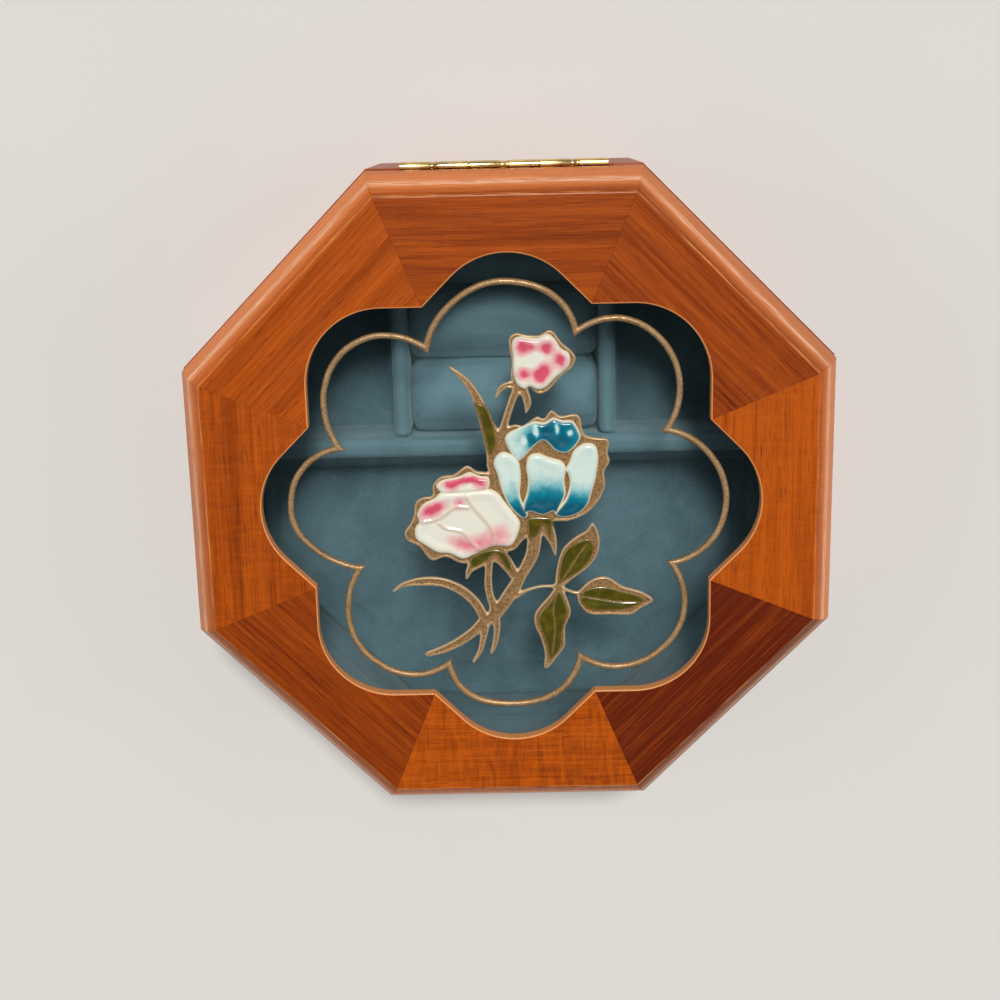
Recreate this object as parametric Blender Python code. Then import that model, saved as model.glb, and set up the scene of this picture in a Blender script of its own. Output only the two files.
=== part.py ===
"""Eight-sided wooden jewelry box with a glazed, hinged lid and a velvet interior.

The box stands on its base with the lid closed. +Z is up, the hinge runs along the back (+Y) and the
origin is under the middle of the base. Lengths are in metres.
"""
import math

import bmesh
import bpy
from mathutils import Matrix, Vector

# Outside of the box
LID_FLAT = 0.160
BODY_PROUD = 0.0005
HEIGHT = 0.060
LID_HEIGHT = 0.0128
JOINT_GAP = 0.0004

# Clearance between touching pieces
TOUCH = 0.0003

# Shaped edge of the lid, from the face out and down to the full width
BAND_RUN = 0.0055
BAND_DEPTH = 0.0085
RIDGE_OUT_SHARE = 0.52
RIDGE_DROP_SHARE = 0.36
RIDGE_SOFTNESS = 0.0008

# Boards and base
WALL = 0.008
BASE_THICK = 0.004

# Velvet-covered insert
LINING_THICK = 0.0025
LINING_DROP = 0.0006
FLOOR_PAD_THICK = 0.0037
DIVIDER_HEIGHT = 0.020
FRONT_DIVIDER_THICK = 0.0056
FRONT_DIVIDER_Y = 0.0078
SIDE_DIVIDER_THICK = 0.0045
BAY_WIDTH = 0.0494
BAY_CENTRE_X = -0.0013
ROLL_COUNT = 3
ROLL_HEIGHT = 0.0190
ROLL_CROWN = 0.0055

# Window and glass
FRAME_WIDTH = 0.0135
WINDOW_ARC = 0.0184
WINDOW_FLANK = math.radians(45)
FRAME_OVER_GLASS = 0.003
GLASS_THICK = 0.0028

# Raised gold line on the glass
BORDER_INSET = 0.0067
BORDER_CUSP_DEPTH = 0.01076
BORDER_WIDTH = 0.0016
BORDER_HEIGHT = 0.0009

# Relief on the glass
SPRAY_MARGIN = 0.0116
GOLD_HEIGHT = 0.0008
ENAMEL_HEIGHT = 0.0012
ENAMEL_UPRIGHT_SHARE = 0.5

# Drawing of the relief, in units of which SPRAY_DRAWN make the spray's length
SPRAY_DRAWN = 85.4
SHOULDER_DRAWN = 0.6
LEAF_RIM_DRAWN = 1.0
POINT_PULL = 1.6

# Hinge
HINGE_LENGTH = 0.050
KNUCKLE_RADIUS = 0.0011
BORE_RADIUS = 0.0007
PIN_RADIUS = 0.0004
LONG_KNUCKLE = 0.0092
KNUCKLE_COUNT = 6
KNUCKLE_GAP = 0.0003
LEAF_THICK = 0.0006
LEAF_WIDTH = 0.0060
PIN_STANDOFF = 0.0003
RECESS_END_GAP = 0.0012

# How far a cutter runs past what it cuts
CUT_MARGIN = 0.008

# Facets
SIDES = 8
HALF_TURN = math.pi / SIDES
ARC_STEPS = 10
BORDER_STEPS = 10
KNUCKLE_SIDES = 12

# Places and levels worked out from the sizes above
BODY_FLAT = LID_FLAT + 2 * BODY_PROUD
FACE_FLAT = LID_FLAT - 2 * BAND_RUN
WINDOW_REACH = FACE_FLAT / 2 - FRAME_WIDTH
BORDER_REACH = WINDOW_REACH - BORDER_INSET
BORDER_CUSP = BORDER_REACH - BORDER_CUSP_DEPTH
BORDER_CENTRE = (BORDER_REACH ** 2 - BORDER_CUSP ** 2) / 2
BORDER_CENTRE /= BORDER_REACH - BORDER_CUSP * math.cos(HALF_TURN)
DRAWN_UNIT = 2 * (BORDER_REACH - SPRAY_MARGIN) / SPRAY_DRAWN
BODY_TOP = HEIGHT - LID_HEIGHT - JOINT_GAP
LID_BASE = HEIGHT - LID_HEIGHT
INNER_APOTHEM = BODY_FLAT / 2 - WALL
SKIRT_APOTHEM = LID_FLAT / 2 - WALL
PAD_BASE = BASE_THICK + TOUCH
FLOOR_TOP = PAD_BASE + FLOOR_PAD_THICK
INSERT_BASE = FLOOR_TOP + TOUCH
LINING_INNER = INNER_APOTHEM - TOUCH - LINING_THICK
GLASS_TOP = HEIGHT - FRAME_OVER_GLASS - TOUCH
RELIEF_BASE = GLASS_TOP + TOUCH
ENAMEL_BASE = RELIEF_BASE + GOLD_HEIGHT + TOUCH
AXIS_Y = BODY_FLAT / 2 + PIN_STANDOFF
AXIS_Z = BODY_TOP + JOINT_GAP / 2

SIDE_NAMES = ("right", "back_right", "back", "back_left", "left", "front_left", "front", "front_right")
BACK = SIDE_NAMES.index("back")


def clear_scene():
    """Remove whatever the scene holds."""
    for item in list(bpy.data.objects):
        bpy.data.objects.remove(item, do_unlink=True)


def collection(name):
    """A new collection under the scene's own."""
    group = bpy.data.collections.new(name)
    bpy.context.scene.collection.children.link(group)
    return group


def material(name, colour, roughness, metallic=0.0, transmission=0.0):
    """A Principled material with one colour."""
    made = bpy.data.materials.new(name)
    made.use_nodes = True
    shader = made.node_tree.nodes["Principled BSDF"]
    shader.inputs["Base Color"].default_value = (*colour, 1.0)
    shader.inputs["Roughness"].default_value = roughness
    shader.inputs["Metallic"].default_value = metallic
    shader.inputs["Transmission Weight"].default_value = transmission
    return made


def finish_mesh(bm, name):
    """Merge doubles, point the faces outward and turn the bmesh into a mesh."""
    bmesh.ops.remove_doubles(bm, verts=bm.verts, dist=1e-6)
    bmesh.ops.recalc_face_normals(bm, faces=bm.faces)
    mesh = bpy.data.meshes.new(name)
    bm.to_mesh(mesh)
    bm.free()
    return mesh


def add_part(name, mesh, finish, group, parent=None):
    """Link a mesh as a named part, with its material, under its parent."""
    part = bpy.data.objects.new(name, mesh)
    if not mesh.materials:
        mesh.materials.append(finish)
    group.objects.link(part)
    if parent is not None:
        part.parent = parent
        part.matrix_parent_inverse = parent.matrix_world.inverted()
    return part


def add_cutter(name, mesh, group):
    """Link a mesh that only cuts or joins other parts."""
    cutter = bpy.data.objects.new(name, mesh)
    cutter.display_type = "WIRE"
    cutter.hide_render = True
    group.objects.link(cutter)
    return cutter


def boolean(part, tool, operation="DIFFERENCE", solver="EXACT"):
    """Cut the part with the tool, or join the tool to it."""
    step = part.modifiers.new(tool.name, "BOOLEAN")
    step.operation = operation
    step.solver = solver
    step.object = tool


def smooth(mesh, angle=40):
    """Shade a round mesh smooth and keep its corners sharp."""
    mesh.shade_smooth()
    mesh.set_sharp_from_angle(angle=math.radians(angle))


def box_mesh(name, low, high):
    """A box between two corners."""
    low, high = Vector(low), Vector(high)
    bm = bmesh.new()
    size = Matrix.Diagonal((*(high - low), 1.0))
    bmesh.ops.create_cube(bm, size=1.0, matrix=Matrix.Translation((low + high) / 2) @ size)
    return finish_mesh(bm, name)


def plate_mesh(name, outline, base, top):
    """An upright prism on a flat outline."""
    bm = bmesh.new()
    face = bm.faces.new([bm.verts.new((x, y, base)) for x, y in outline])
    lifted = bmesh.ops.extrude_face_region(bm, geom=[face])
    risen = [item for item in lifted["geom"] if isinstance(item, bmesh.types.BMVert)]
    bmesh.ops.translate(bm, vec=(0, 0, top - base), verts=risen)
    return finish_mesh(bm, name)


def bar_mesh(name, section, start, end, along="X"):
    """A bar whose section is swept from start to end, along X over (y, z) or along Y over (x, z)."""
    bm = bmesh.new()
    if along == "X":
        corners = [(start, a, z) for a, z in section]
        step = (end - start, 0, 0)
    else:
        corners = [(a, start, z) for a, z in section]
        step = (0, end - start, 0)
    face = bm.faces.new([bm.verts.new(corner) for corner in corners])
    lifted = bmesh.ops.extrude_face_region(bm, geom=[face])
    moved = [item for item in lifted["geom"] if isinstance(item, bmesh.types.BMVert)]
    bmesh.ops.translate(bm, vec=step, verts=moved)
    return finish_mesh(bm, name)


def enamel_mesh(name, outline):
    """A low drop of enamel: an upright edge, then a shoulder that leans in to a flat top."""
    upright = ENAMEL_HEIGHT * ENAMEL_UPRIGHT_SHARE
    bm = bmesh.new()
    face = bm.faces.new([bm.verts.new((x, y, ENAMEL_BASE)) for x, y in outline])
    lifted = bmesh.ops.extrude_face_region(bm, geom=[face])
    risen = [item for item in lifted["geom"] if isinstance(item, bmesh.types.BMVert)]
    bmesh.ops.translate(bm, vec=(0, 0, upright), verts=risen)
    bmesh.ops.recalc_face_normals(bm, faces=bm.faces)
    cap = [item for item in lifted["geom"] if isinstance(item, bmesh.types.BMFace)]
    bmesh.ops.inset_region(bm, faces=cap, thickness=SHOULDER_DRAWN * DRAWN_UNIT,
                           depth=ENAMEL_HEIGHT - upright, use_even_offset=True)
    mesh = finish_mesh(bm, name)
    smooth(mesh, 60)
    return mesh


def octagon_mesh(name, apothem, base, top):
    """A solid octagonal plate with flats towards the axes."""
    corner = apothem / math.cos(HALF_TURN)
    turn = Matrix.Rotation(HALF_TURN, 4, "Z")
    place = Matrix.Translation((0, 0, (base + top) / 2)) @ turn
    bm = bmesh.new()
    bmesh.ops.create_cone(bm, cap_ends=True, segments=SIDES, radius1=corner, radius2=corner,
                          depth=top - base, matrix=place)
    return finish_mesh(bm, name)


def mitred_board_mesh(name, section):
    """One board of an octagonal ring, its section of (out, z) swept from mitre to mitre.

    The board is drawn in by a little, swept, and pushed out again by as much, which keeps its section
    in place and leaves the clearance at each mitre.
    """
    pull = TOUCH / (2 * math.sin(HALF_TURN))
    bm = bmesh.new()
    slope = math.tan(HALF_TURN)
    corners = [bm.verts.new((out - pull, (out - pull) * slope, z)) for out, z in section]
    face = bm.faces.new(corners)
    bmesh.ops.spin(bm, geom=[face], cent=(0, 0, 0), axis=(0, 0, 1), angle=-2 * HALF_TURN, steps=1)
    bmesh.ops.translate(bm, vec=(pull, 0, 0), verts=bm.verts)
    return finish_mesh(bm, name)


def ring_mesh(name, outer, inner, base, top):
    """An octagonal ring with square edges."""
    bm = bmesh.new()
    slope = math.tan(HALF_TURN)
    section = ((inner, base), (outer, base), (outer, top), (inner, top))
    loop = [bm.verts.new((out, out * slope, z)) for out, z in section]
    edges = [bm.edges.new((loop[i], loop[(i + 1) % len(loop)])) for i in range(len(loop))]
    bmesh.ops.spin(bm, geom=loop + edges, cent=(0, 0, 0), axis=(0, 0, 1), angle=2 * math.pi,
                   steps=SIDES, use_merge=True)
    return finish_mesh(bm, name)


def turned(points, azimuth):
    """Flat points turned about the middle of the lid."""
    cosine, sine = math.cos(azimuth), math.sin(azimuth)
    return [(x * cosine - y * sine, x * sine + y * cosine) for x, y in points]


def window_outline():
    """The scalloped window: on each side an arc with straight flanks down to the mitre lines."""
    centre = WINDOW_REACH - WINDOW_ARC
    slope = math.tan(HALF_TURN)
    lobe = []
    for step in range(ARC_STEPS + 1):
        angle = -WINDOW_FLANK + 2 * WINDOW_FLANK * step / ARC_STEPS
        lobe.append((centre + WINDOW_ARC * math.cos(angle), WINDOW_ARC * math.sin(angle)))
    out, along = lobe[-1]
    fall = math.sin(WINDOW_FLANK)
    run = math.cos(WINDOW_FLANK)
    reach = (out * slope - along) / (run + fall * slope)
    lobe.append((out - reach * fall, along + reach * run))
    return [point for side in range(SIDES) for point in turned(lobe, side * 2 * HALF_TURN)]


def window_cusp():
    """Distance of the window's inward points, measured square to a side."""
    return min(math.hypot(x, y) for x, y in window_outline()) * math.cos(HALF_TURN)


def border_outline(offset):
    """Eight arcs that meet on the mitre lines, moved out by the offset."""
    radius = BORDER_REACH - BORDER_CENTRE + offset
    reach = BORDER_CENTRE * math.cos(HALF_TURN)
    reach += math.sqrt(radius ** 2 - (BORDER_CENTRE * math.sin(HALF_TURN)) ** 2)
    sweep = math.atan2(reach * math.sin(HALF_TURN), reach * math.cos(HALF_TURN) - BORDER_CENTRE)
    lobe = []
    for step in range(BORDER_STEPS):
        angle = -sweep + 2 * sweep * step / BORDER_STEPS
        lobe.append((BORDER_CENTRE + radius * math.cos(angle), radius * math.sin(angle)))
    return [point for side in range(SIDES) for point in turned(lobe, side * 2 * HALF_TURN)]


def blob(centre, radii, ruffles, depth, power, turn, steps):
    """A rounded outline, drawn in units: a superellipse with a ruffled rim."""
    centre, radii = Vector(centre) * DRAWN_UNIT, Vector(radii) * DRAWN_UNIT
    outline = []
    for step in range(steps):
        angle = 2 * math.pi * step / steps
        cosine, sine = math.cos(angle), math.sin(angle)
        size = (abs(cosine) ** power + abs(sine) ** power) ** (-1 / power)
        size *= 1 + depth * (abs(math.cos(ruffles * angle / 2)) - 1)
        x, y = radii[0] * size * cosine, radii[1] * size * sine
        outline.append((centre[0] + x * math.cos(turn) - y * math.sin(turn),
                        centre[1] + x * math.sin(turn) + y * math.cos(turn)))
    return outline


def petal(foot, tip, width, belly, bend, shrink=0.0, blunt=0.65, steps=8):
    """A leaf or petal outline, drawn in units: widest at its belly, bent to one side and shrunk."""
    foot, tip = Vector(foot) * DRAWN_UNIT, Vector(tip) * DRAWN_UNIT
    width, bend, shrink = width * DRAWN_UNIT, bend * DRAWN_UNIT, shrink * DRAWN_UNIT
    axis = (tip - foot).normalized()
    foot, tip = foot + axis * shrink * POINT_PULL, tip - axis * shrink * POINT_PULL
    across = Vector((-axis.y, axis.x))
    power = math.log(0.5) / math.log(belly)
    left, right = [], []
    for step in range(steps + 1):
        share = step / steps
        middle = foot.lerp(tip, share) + across * bend * math.sin(math.pi * share)
        half = (width / 2 - shrink) * max(math.sin(math.pi * share ** power), 0.0) ** blunt
        left.append(middle + across * half)
        right.append(middle - across * half)
    points = [foot, *left[1:-1], tip, *reversed(right[1:-1])]
    return [(point.x, point.y) for point in reversed(points)]


def strip(points, start_width, end_width, steps=4):
    """A stem outline, drawn in units: a smooth curve through the points, with tapering width."""
    knots = [Vector(point) * DRAWN_UNIT for point in points]
    knots = [2 * knots[0] - knots[1], *knots, 2 * knots[-1] - knots[-2]]
    spans = len(knots) - 3
    middle = []
    for step in range(spans * steps + 1):
        span = min(step // steps, spans - 1)
        share = step / steps - span
        a, b, c, d = knots[span:span + 4]
        middle.append(0.5 * ((2 * b) + (c - a) * share + (2 * a - 5 * b + 4 * c - d) * share ** 2
                             + (3 * b - a - 3 * c + d) * share ** 3))
    left, right = [], []
    last = len(middle) - 1
    for index, point in enumerate(middle):
        way = (middle[min(index + 1, last)] - middle[max(index - 1, 0)]).normalized()
        half = (start_width + (end_width - start_width) * index / last) / 2 * DRAWN_UNIT
        across = Vector((-way.y, way.x)) * half
        left.append(point + across)
        right.append(point - across)
    return [(point.x, point.y) for point in [*left, *reversed(right)]]


def crowned_section(middle, width, base, top, crown, steps=8):
    """A section with upright sides and a rounded top."""
    section = [(middle - width / 2, base), (middle + width / 2, base)]
    for step in range(steps + 1):
        angle = math.pi * step / steps
        section.append((middle + width / 2 * math.cos(angle), top - crown + crown * math.sin(angle)))
    return section


def hinge_knuckles():
    """Start and end of each knuckle along X; the long ones belong to the lid."""
    shorts = KNUCKLE_COUNT // 2
    longs = KNUCKLE_COUNT - shorts
    short = (HINGE_LENGTH - longs * LONG_KNUCKLE - (KNUCKLE_COUNT - 1) * KNUCKLE_GAP) / shorts
    spans, start = [], -HINGE_LENGTH / 2
    for index in range(KNUCKLE_COUNT):
        length = short if index % 2 else LONG_KNUCKLE
        spans.append((start, start + length))
        start += length + KNUCKLE_GAP
    return spans


def hinge_cutters(group):
    """The recess for each leaf and the notch for the barrel, in the wall and in the rail."""
    half = HINGE_LENGTH / 2 + RECESS_END_GAP
    notch_y = AXIS_Y - KNUCKLE_RADIUS - TOUCH
    leaf_y = notch_y - LEAF_WIDTH - TOUCH
    beyond = AXIS_Y + KNUCKLE_RADIUS
    depth = LEAF_THICK + TOUCH
    reach = KNUCKLE_RADIUS + TOUCH
    past = 2 * JOINT_GAP
    cutters = {"box": [], "lid": []}
    for owner, seat, side in (("box", BODY_TOP, -1), ("lid", LID_BASE, 1)):
        for kind, low_y, high_y, deep in (("recess", leaf_y, notch_y + TOUCH, seat + side * depth),
                                          ("notch", notch_y, beyond, AXIS_Z + side * reach)):
            low_z, high_z = sorted((seat - side * past, deep))
            name = f"{owner}_{kind}_cutter"
            mesh = box_mesh(name, (-half, low_y, low_z), (half, high_y, high_z))
            cutters[owner].append(add_cutter(name, mesh, group))
    return cutters


def knuckle_section(side):
    """Barrel section with a tab that runs in to the leaf; side is -1 for the box, 1 for the lid."""
    near = AXIS_Z + side * JOINT_GAP / 2
    far = near + side * LEAF_THICK
    tab_y = AXIS_Y - KNUCKLE_RADIUS - 2 * TOUCH
    section = [(tab_y, near), (tab_y, far)]
    start = math.pi - math.asin((far - AXIS_Z) / KNUCKLE_RADIUS)
    end = math.pi - math.asin((near - AXIS_Z) / KNUCKLE_RADIUS)
    if side > 0:
        end -= 2 * math.pi
    else:
        end += 2 * math.pi
    for step in range(KNUCKLE_SIDES + 1):
        angle = start + (end - start) * step / KNUCKLE_SIDES
        section.append((AXIS_Y + KNUCKLE_RADIUS * math.cos(angle),
                        AXIS_Z + KNUCKLE_RADIUS * math.sin(angle)))
    return section


def hinge_leaf(name, side, spans, finish, parts, cutters, bore, parent=None):
    """A leaf that lies in the joint, with its knuckles round the pin."""
    near = AXIS_Z + side * JOINT_GAP / 2
    low_z, high_z = sorted((near, near + side * LEAF_THICK))
    edge = AXIS_Y - KNUCKLE_RADIUS - TOUCH
    half = HINGE_LENGTH / 2
    mesh = box_mesh(name, (-half, edge - LEAF_WIDTH, low_z), (half, edge, high_z))
    leaf = add_part(name, mesh, finish, parts, parent)
    for index, (start, end) in enumerate(spans):
        label = f"{name}_knuckle_{index + 1}"
        knuckle = add_cutter(label, bar_mesh(label, knuckle_section(side), start, end), cutters)
        boolean(leaf, knuckle, "UNION")
    boolean(leaf, bore)
    return leaf


def pin_mesh(name, radius, length):
    """A round rod along the hinge's axis."""
    place = Matrix.Translation((0, AXIS_Y, AXIS_Z)) @ Matrix.Rotation(math.pi / 2, 4, "Y")
    bm = bmesh.new()
    bmesh.ops.create_cone(bm, cap_ends=True, segments=KNUCKLE_SIDES, radius1=radius, radius2=radius,
                          depth=length, matrix=place)
    mesh = finish_mesh(bm, name)
    smooth(mesh)
    return mesh


def rail_section():
    """Section of a lid rail: skirt, shaped edge, face and the plate over the glass."""
    half, face = LID_FLAT / 2, FACE_FLAT / 2
    ridge_out = face + (half - face) * RIDGE_OUT_SHARE
    ridge_z = HEIGHT - BAND_DEPTH * RIDGE_DROP_SHARE
    lower = Vector((half - ridge_out, HEIGHT - BAND_DEPTH - ridge_z)).normalized() * RIDGE_SOFTNESS
    upper = Vector((face - ridge_out, HEIGHT - ridge_z)).normalized() * RIDGE_SOFTNESS
    inner = window_cusp() - CUT_MARGIN
    plate = HEIGHT - FRAME_OVER_GLASS
    return [(SKIRT_APOTHEM, LID_BASE), (half, LID_BASE), (half, HEIGHT - BAND_DEPTH),
            (ridge_out + lower.x, ridge_z + lower.y), (ridge_out + upper.x, ridge_z + upper.y),
            (face, HEIGHT), (inner, HEIGHT), (inner, plate), (SKIRT_APOTHEM, plate)]


def build_walls(finish, parts, hinge_cuts):
    """The eight mitred wall boards."""
    outer = BODY_FLAT / 2
    section = [(INNER_APOTHEM, 0), (outer, 0), (outer, BODY_TOP), (INNER_APOTHEM, BODY_TOP)]
    mesh = mitred_board_mesh("wall_board", section)
    for index, side in enumerate(SIDE_NAMES):
        wall = add_part(f"wall_{side}", mesh, finish, parts)
        wall.rotation_euler.z = index * 2 * HALF_TURN
        if index == BACK:
            for cutter in hinge_cuts:
                boolean(wall, cutter)


def build_insert(wood, velvet, parts):
    """Base panel and the velvet-covered pieces inside."""
    add_part("base_panel", octagon_mesh("base_panel", INNER_APOTHEM - TOUCH, 0, BASE_THICK), wood, parts)
    pad = octagon_mesh("floor_pad", LINING_INNER - TOUCH, PAD_BASE, FLOOR_TOP)
    add_part("floor_pad", pad, velvet, parts)
    lining = ring_mesh("wall_lining", INNER_APOTHEM - TOUCH, LINING_INNER, PAD_BASE,
                       BODY_TOP - LINING_DROP)
    add_part("wall_lining", lining, velvet, parts)
    reach = LINING_INNER - TOUCH
    divider_top = INSERT_BASE + DIVIDER_HEIGHT
    section = crowned_section(FRONT_DIVIDER_Y, FRONT_DIVIDER_THICK, INSERT_BASE, divider_top,
                              FRONT_DIVIDER_THICK / 2)
    add_part("front_divider", bar_mesh("front_divider", section, -reach, reach), velvet, parts)
    start = FRONT_DIVIDER_Y + FRONT_DIVIDER_THICK / 2 + TOUCH
    bay = BAY_WIDTH / 2
    for name, side in (("left_divider", -1), ("right_divider", 1)):
        middle = BAY_CENTRE_X + side * (bay + SIDE_DIVIDER_THICK / 2)
        section = crowned_section(middle, SIDE_DIVIDER_THICK, INSERT_BASE, divider_top,
                                  SIDE_DIVIDER_THICK / 2)
        slant = reach * math.sqrt(2) - abs(middle) - SIDE_DIVIDER_THICK / 2
        add_part(name, bar_mesh(name, section, start, min(reach, slant), "Y"), velvet, parts)
    pitch = (reach - start) / ROLL_COUNT
    names = ["ring_roll_front", "ring_roll_middle", "ring_roll_back"]
    names += [f"ring_roll_{index + 1}" for index in range(len(names), ROLL_COUNT)]
    for index in range(ROLL_COUNT):
        middle = start + pitch * (index + 0.5)
        section = crowned_section(middle, pitch - TOUCH, INSERT_BASE, INSERT_BASE + ROLL_HEIGHT,
                                  ROLL_CROWN)
        roll = bar_mesh(names[index], section, BAY_CENTRE_X - bay + TOUCH, BAY_CENTRE_X + bay - TOUCH)
        add_part(names[index], roll, velvet, parts)


def build_lid(wood, glass, gold, parts, cutters, hinge_cuts, pivot):
    """The eight lid rails with the scalloped window, the glass and the gold line."""
    window = plate_mesh("window_cutter", window_outline(), HEIGHT - FRAME_OVER_GLASS - CUT_MARGIN,
                        HEIGHT + CUT_MARGIN)
    window = add_cutter("window_cutter", window, cutters)
    mesh = mitred_board_mesh("lid_rail", rail_section())
    for index, side in enumerate(SIDE_NAMES):
        rail = add_part(f"lid_rail_{side}", mesh, wood, parts, pivot)
        rail.rotation_euler.z = index * 2 * HALF_TURN
        boolean(rail, window)
        if index == BACK:
            for cutter in hinge_cuts:
                boolean(rail, cutter)
    pane = octagon_mesh("glass_pane", SKIRT_APOTHEM - TOUCH, GLASS_TOP - GLASS_THICK, GLASS_TOP)
    add_part("glass_pane", pane, glass, parts, pivot)
    border = plate_mesh("gold_border", border_outline(BORDER_WIDTH / 2), RELIEF_BASE,
                        RELIEF_BASE + BORDER_HEIGHT)
    border = add_part("gold_border", border, gold, parts, pivot)
    hole = plate_mesh("border_cutter", border_outline(-BORDER_WIDTH / 2), RELIEF_BASE - CUT_MARGIN,
                      RELIEF_BASE + BORDER_HEIGHT + CUT_MARGIN)
    boolean(border, add_cutter("border_cutter", hole, cutters))


# Drawing of the spray in units from the middle of the lid: x to the right, y towards the hinge.
# Ruffled forms: centre, half sizes, ruffles, their depth, squareness, turn, steps.
BACKINGS = (
    ((10.3, 8.6), (14.3, 13.2), 11, 0.06, 2.6, 0.1, 33),
    ((-12.2, -4.2), (14.6, 11.2), 11, 0.07, 2.3, 0.15, 33),
    ((7.7, 34.5), (8.0, 7.4), 7, 0.07, 2.3, -0.3, 21),
)
BLOOMS = {
    "blue_rose_collar": ("blue", (8.4, 16.4), (9.2, 3.6), 7, 0.10, 2.4, 0.02, 28),
    "blue_rose_heart": ("blue", (9.0, 4.0), (4.9, 7.6), 0, 0.0, 2.8, 0.0, 24),
    "blue_rose_sepals": ("green", (7.8, -6.2), (3.1, 1.1), 2, 0.2, 2.2, 0.0, 16),
    "pink_rose_heart": ("pink", (-11.7, -6.0), (11.6, 7.6), 9, 0.06, 2.3, 0.08, 36),
    "pink_rose_top_petal": ("pink", (-11.2, 4.0), (6.4, 1.9), 5, 0.08, 2.3, 0.1, 24),
    "pink_rose_sepals": ("green", (-5.4, -14.4), (1.8, 0.8), 2, 0.1, 2.2, 0.0, 12),
    "bud_petals": ("pink", (7.7, 34.7), (6.9, 6.2), 7, 0.07, 2.3, -0.3, 28),
}
# Pointed forms: foot, tip, width, place of the widest part, bend.
PETALS = {
    "blue_rose_left_petal": ((2.8, -3.2), (0.4, 12.0), 5.4, 0.55, 2.2),
    "blue_rose_right_petal": ((15.2, -3.4), (18.6, 13.4), 6.4, 0.58, -1.2),
}
LEAVES = {
    "leaf_upper": ((11.2, -21.9), (20.4, -6.2), 8.2, 0.55, -0.9),
    "leaf_right": ((16.4, -24.3), (34.9, -26.4), 8.8, 0.45, 0.3),
    "leaf_lower": ((11.4, -22.2), (7.8, -43.6), 9.0, 0.42, 0.5),
    "leaf_slender": ((-3.4, 9.0), (-13.9, 33.5), 4.6, 0.38, -1.9),
}
# Stems and tendrils: points, width at the start, width at the end.
STEMS = (
    (((7.6, -5.0), (5.4, -13.5), (-0.8, -24.0), (-6.4, -30.6)), 3.0, 2.6),
    (((-5.6, -15.0), (-5.6, -21.0), (-4.6, -25.6), (-6.2, -30.4)), 2.2, 2.0),
    (((3.2, 28.0), (0.4, 22.6), (-2.2, 16.6), (-2.2, 9.0)), 1.8, 2.4),
    (((-29.6, -22.6), (-21.6, -19.3), (-12.0, -22.2), (-6.0, -30.0)), 0.7, 2.6),
    (((-21.9, -39.9), (-15.0, -36.6), (-9.6, -32.4), (-5.6, -28.8)), 0.7, 2.6),
    (((-10.2, -41.4), (-7.3, -36.6), (-6.0, -29.8)), 1.0, 2.0),
    (((-5.5, -39.4), (-3.9, -35.2), (-5.6, -29.4)), 1.2, 2.0),
    (((0.4, -25.2), (5.6, -22.3), (11.2, -22.2), (17.4, -24.4)), 1.6, 1.2),
    (((-2.8, 25.8), (-1.0, 28.2), (4.0, 29.4)), 0.8, 2.6),
    (((4.8, 21.8), (5.4, 25.4), (3.6, 29.4)), 0.8, 2.6),
    (((-11.0, -19.8), (-9.4, -15.6), (-6.0, -13.2)), 0.9, 3.4),
    (((0.6, -19.4), (-1.2, -15.6), (-5.2, -13.0)), 0.9, 3.4),
    (((10.7, -14.0), (9.8, -9.2), (7.6, -4.2)), 0.9, 3.6),
    (((3.9, -9.6), (5.6, -6.6), (7.8, -4.2)), 1.2, 3.0),
)


def gold_outlines():
    """Outlines of the gold relief: backings of the flowers and leaves, then the stems."""
    shapes = [blob(*form) for form in BACKINGS]
    shapes += [petal(*form) for form in LEAVES.values()]
    shapes += [strip(*form) for form in STEMS]
    return shapes


def enamel_outlines():
    """Colour and outline of each enamel piece, each lying inside its gold backing."""
    shapes = {name: (form[0], blob(*form[1:])) for name, form in BLOOMS.items()}
    shapes.update({name: ("blue", petal(*form)) for name, form in PETALS.items()})
    shapes.update({name: ("green", petal(*form, shrink=LEAF_RIM_DRAWN)) for name, form in LEAVES.items()})
    return shapes


def build_relief(gold, enamels, parts, cutters, pivot):
    """The connected gold relief and the enamel that lies on it.

    The many flush plates are joined by the Manifold solver, whose result is the same on every run.
    """
    first, *others = gold_outlines()
    top = RELIEF_BASE + GOLD_HEIGHT
    spray = add_part("gold_spray", plate_mesh("gold_spray", first, RELIEF_BASE, top), gold, parts, pivot)
    for index, outline in enumerate(others):
        name = f"spray_piece_{index + 1}"
        piece = add_cutter(name, plate_mesh(name, outline, RELIEF_BASE, top), cutters)
        boolean(spray, piece, "UNION", "MANIFOLD")
    for name, (colour, outline) in enamel_outlines().items():
        add_part(name, enamel_mesh(name, outline), enamels[colour], parts, pivot)


def build_hinge(brass, parts, cutters, pivot):
    """Two leaves with interleaved knuckles and the pin through them."""
    bore = pin_mesh("bore_cutter", BORE_RADIUS, HINGE_LENGTH + 2 * CUT_MARGIN)
    bore = add_cutter("bore_cutter", bore, cutters)
    spans = hinge_knuckles()
    hinge_leaf("hinge_leaf_lid", 1, spans[0::2], brass, parts, cutters, bore, pivot)
    hinge_leaf("hinge_leaf_box", -1, spans[1::2], brass, parts, cutters, bore)
    add_part("hinge_pin", pin_mesh("hinge_pin", PIN_RADIUS, HINGE_LENGTH), brass, parts)


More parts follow.
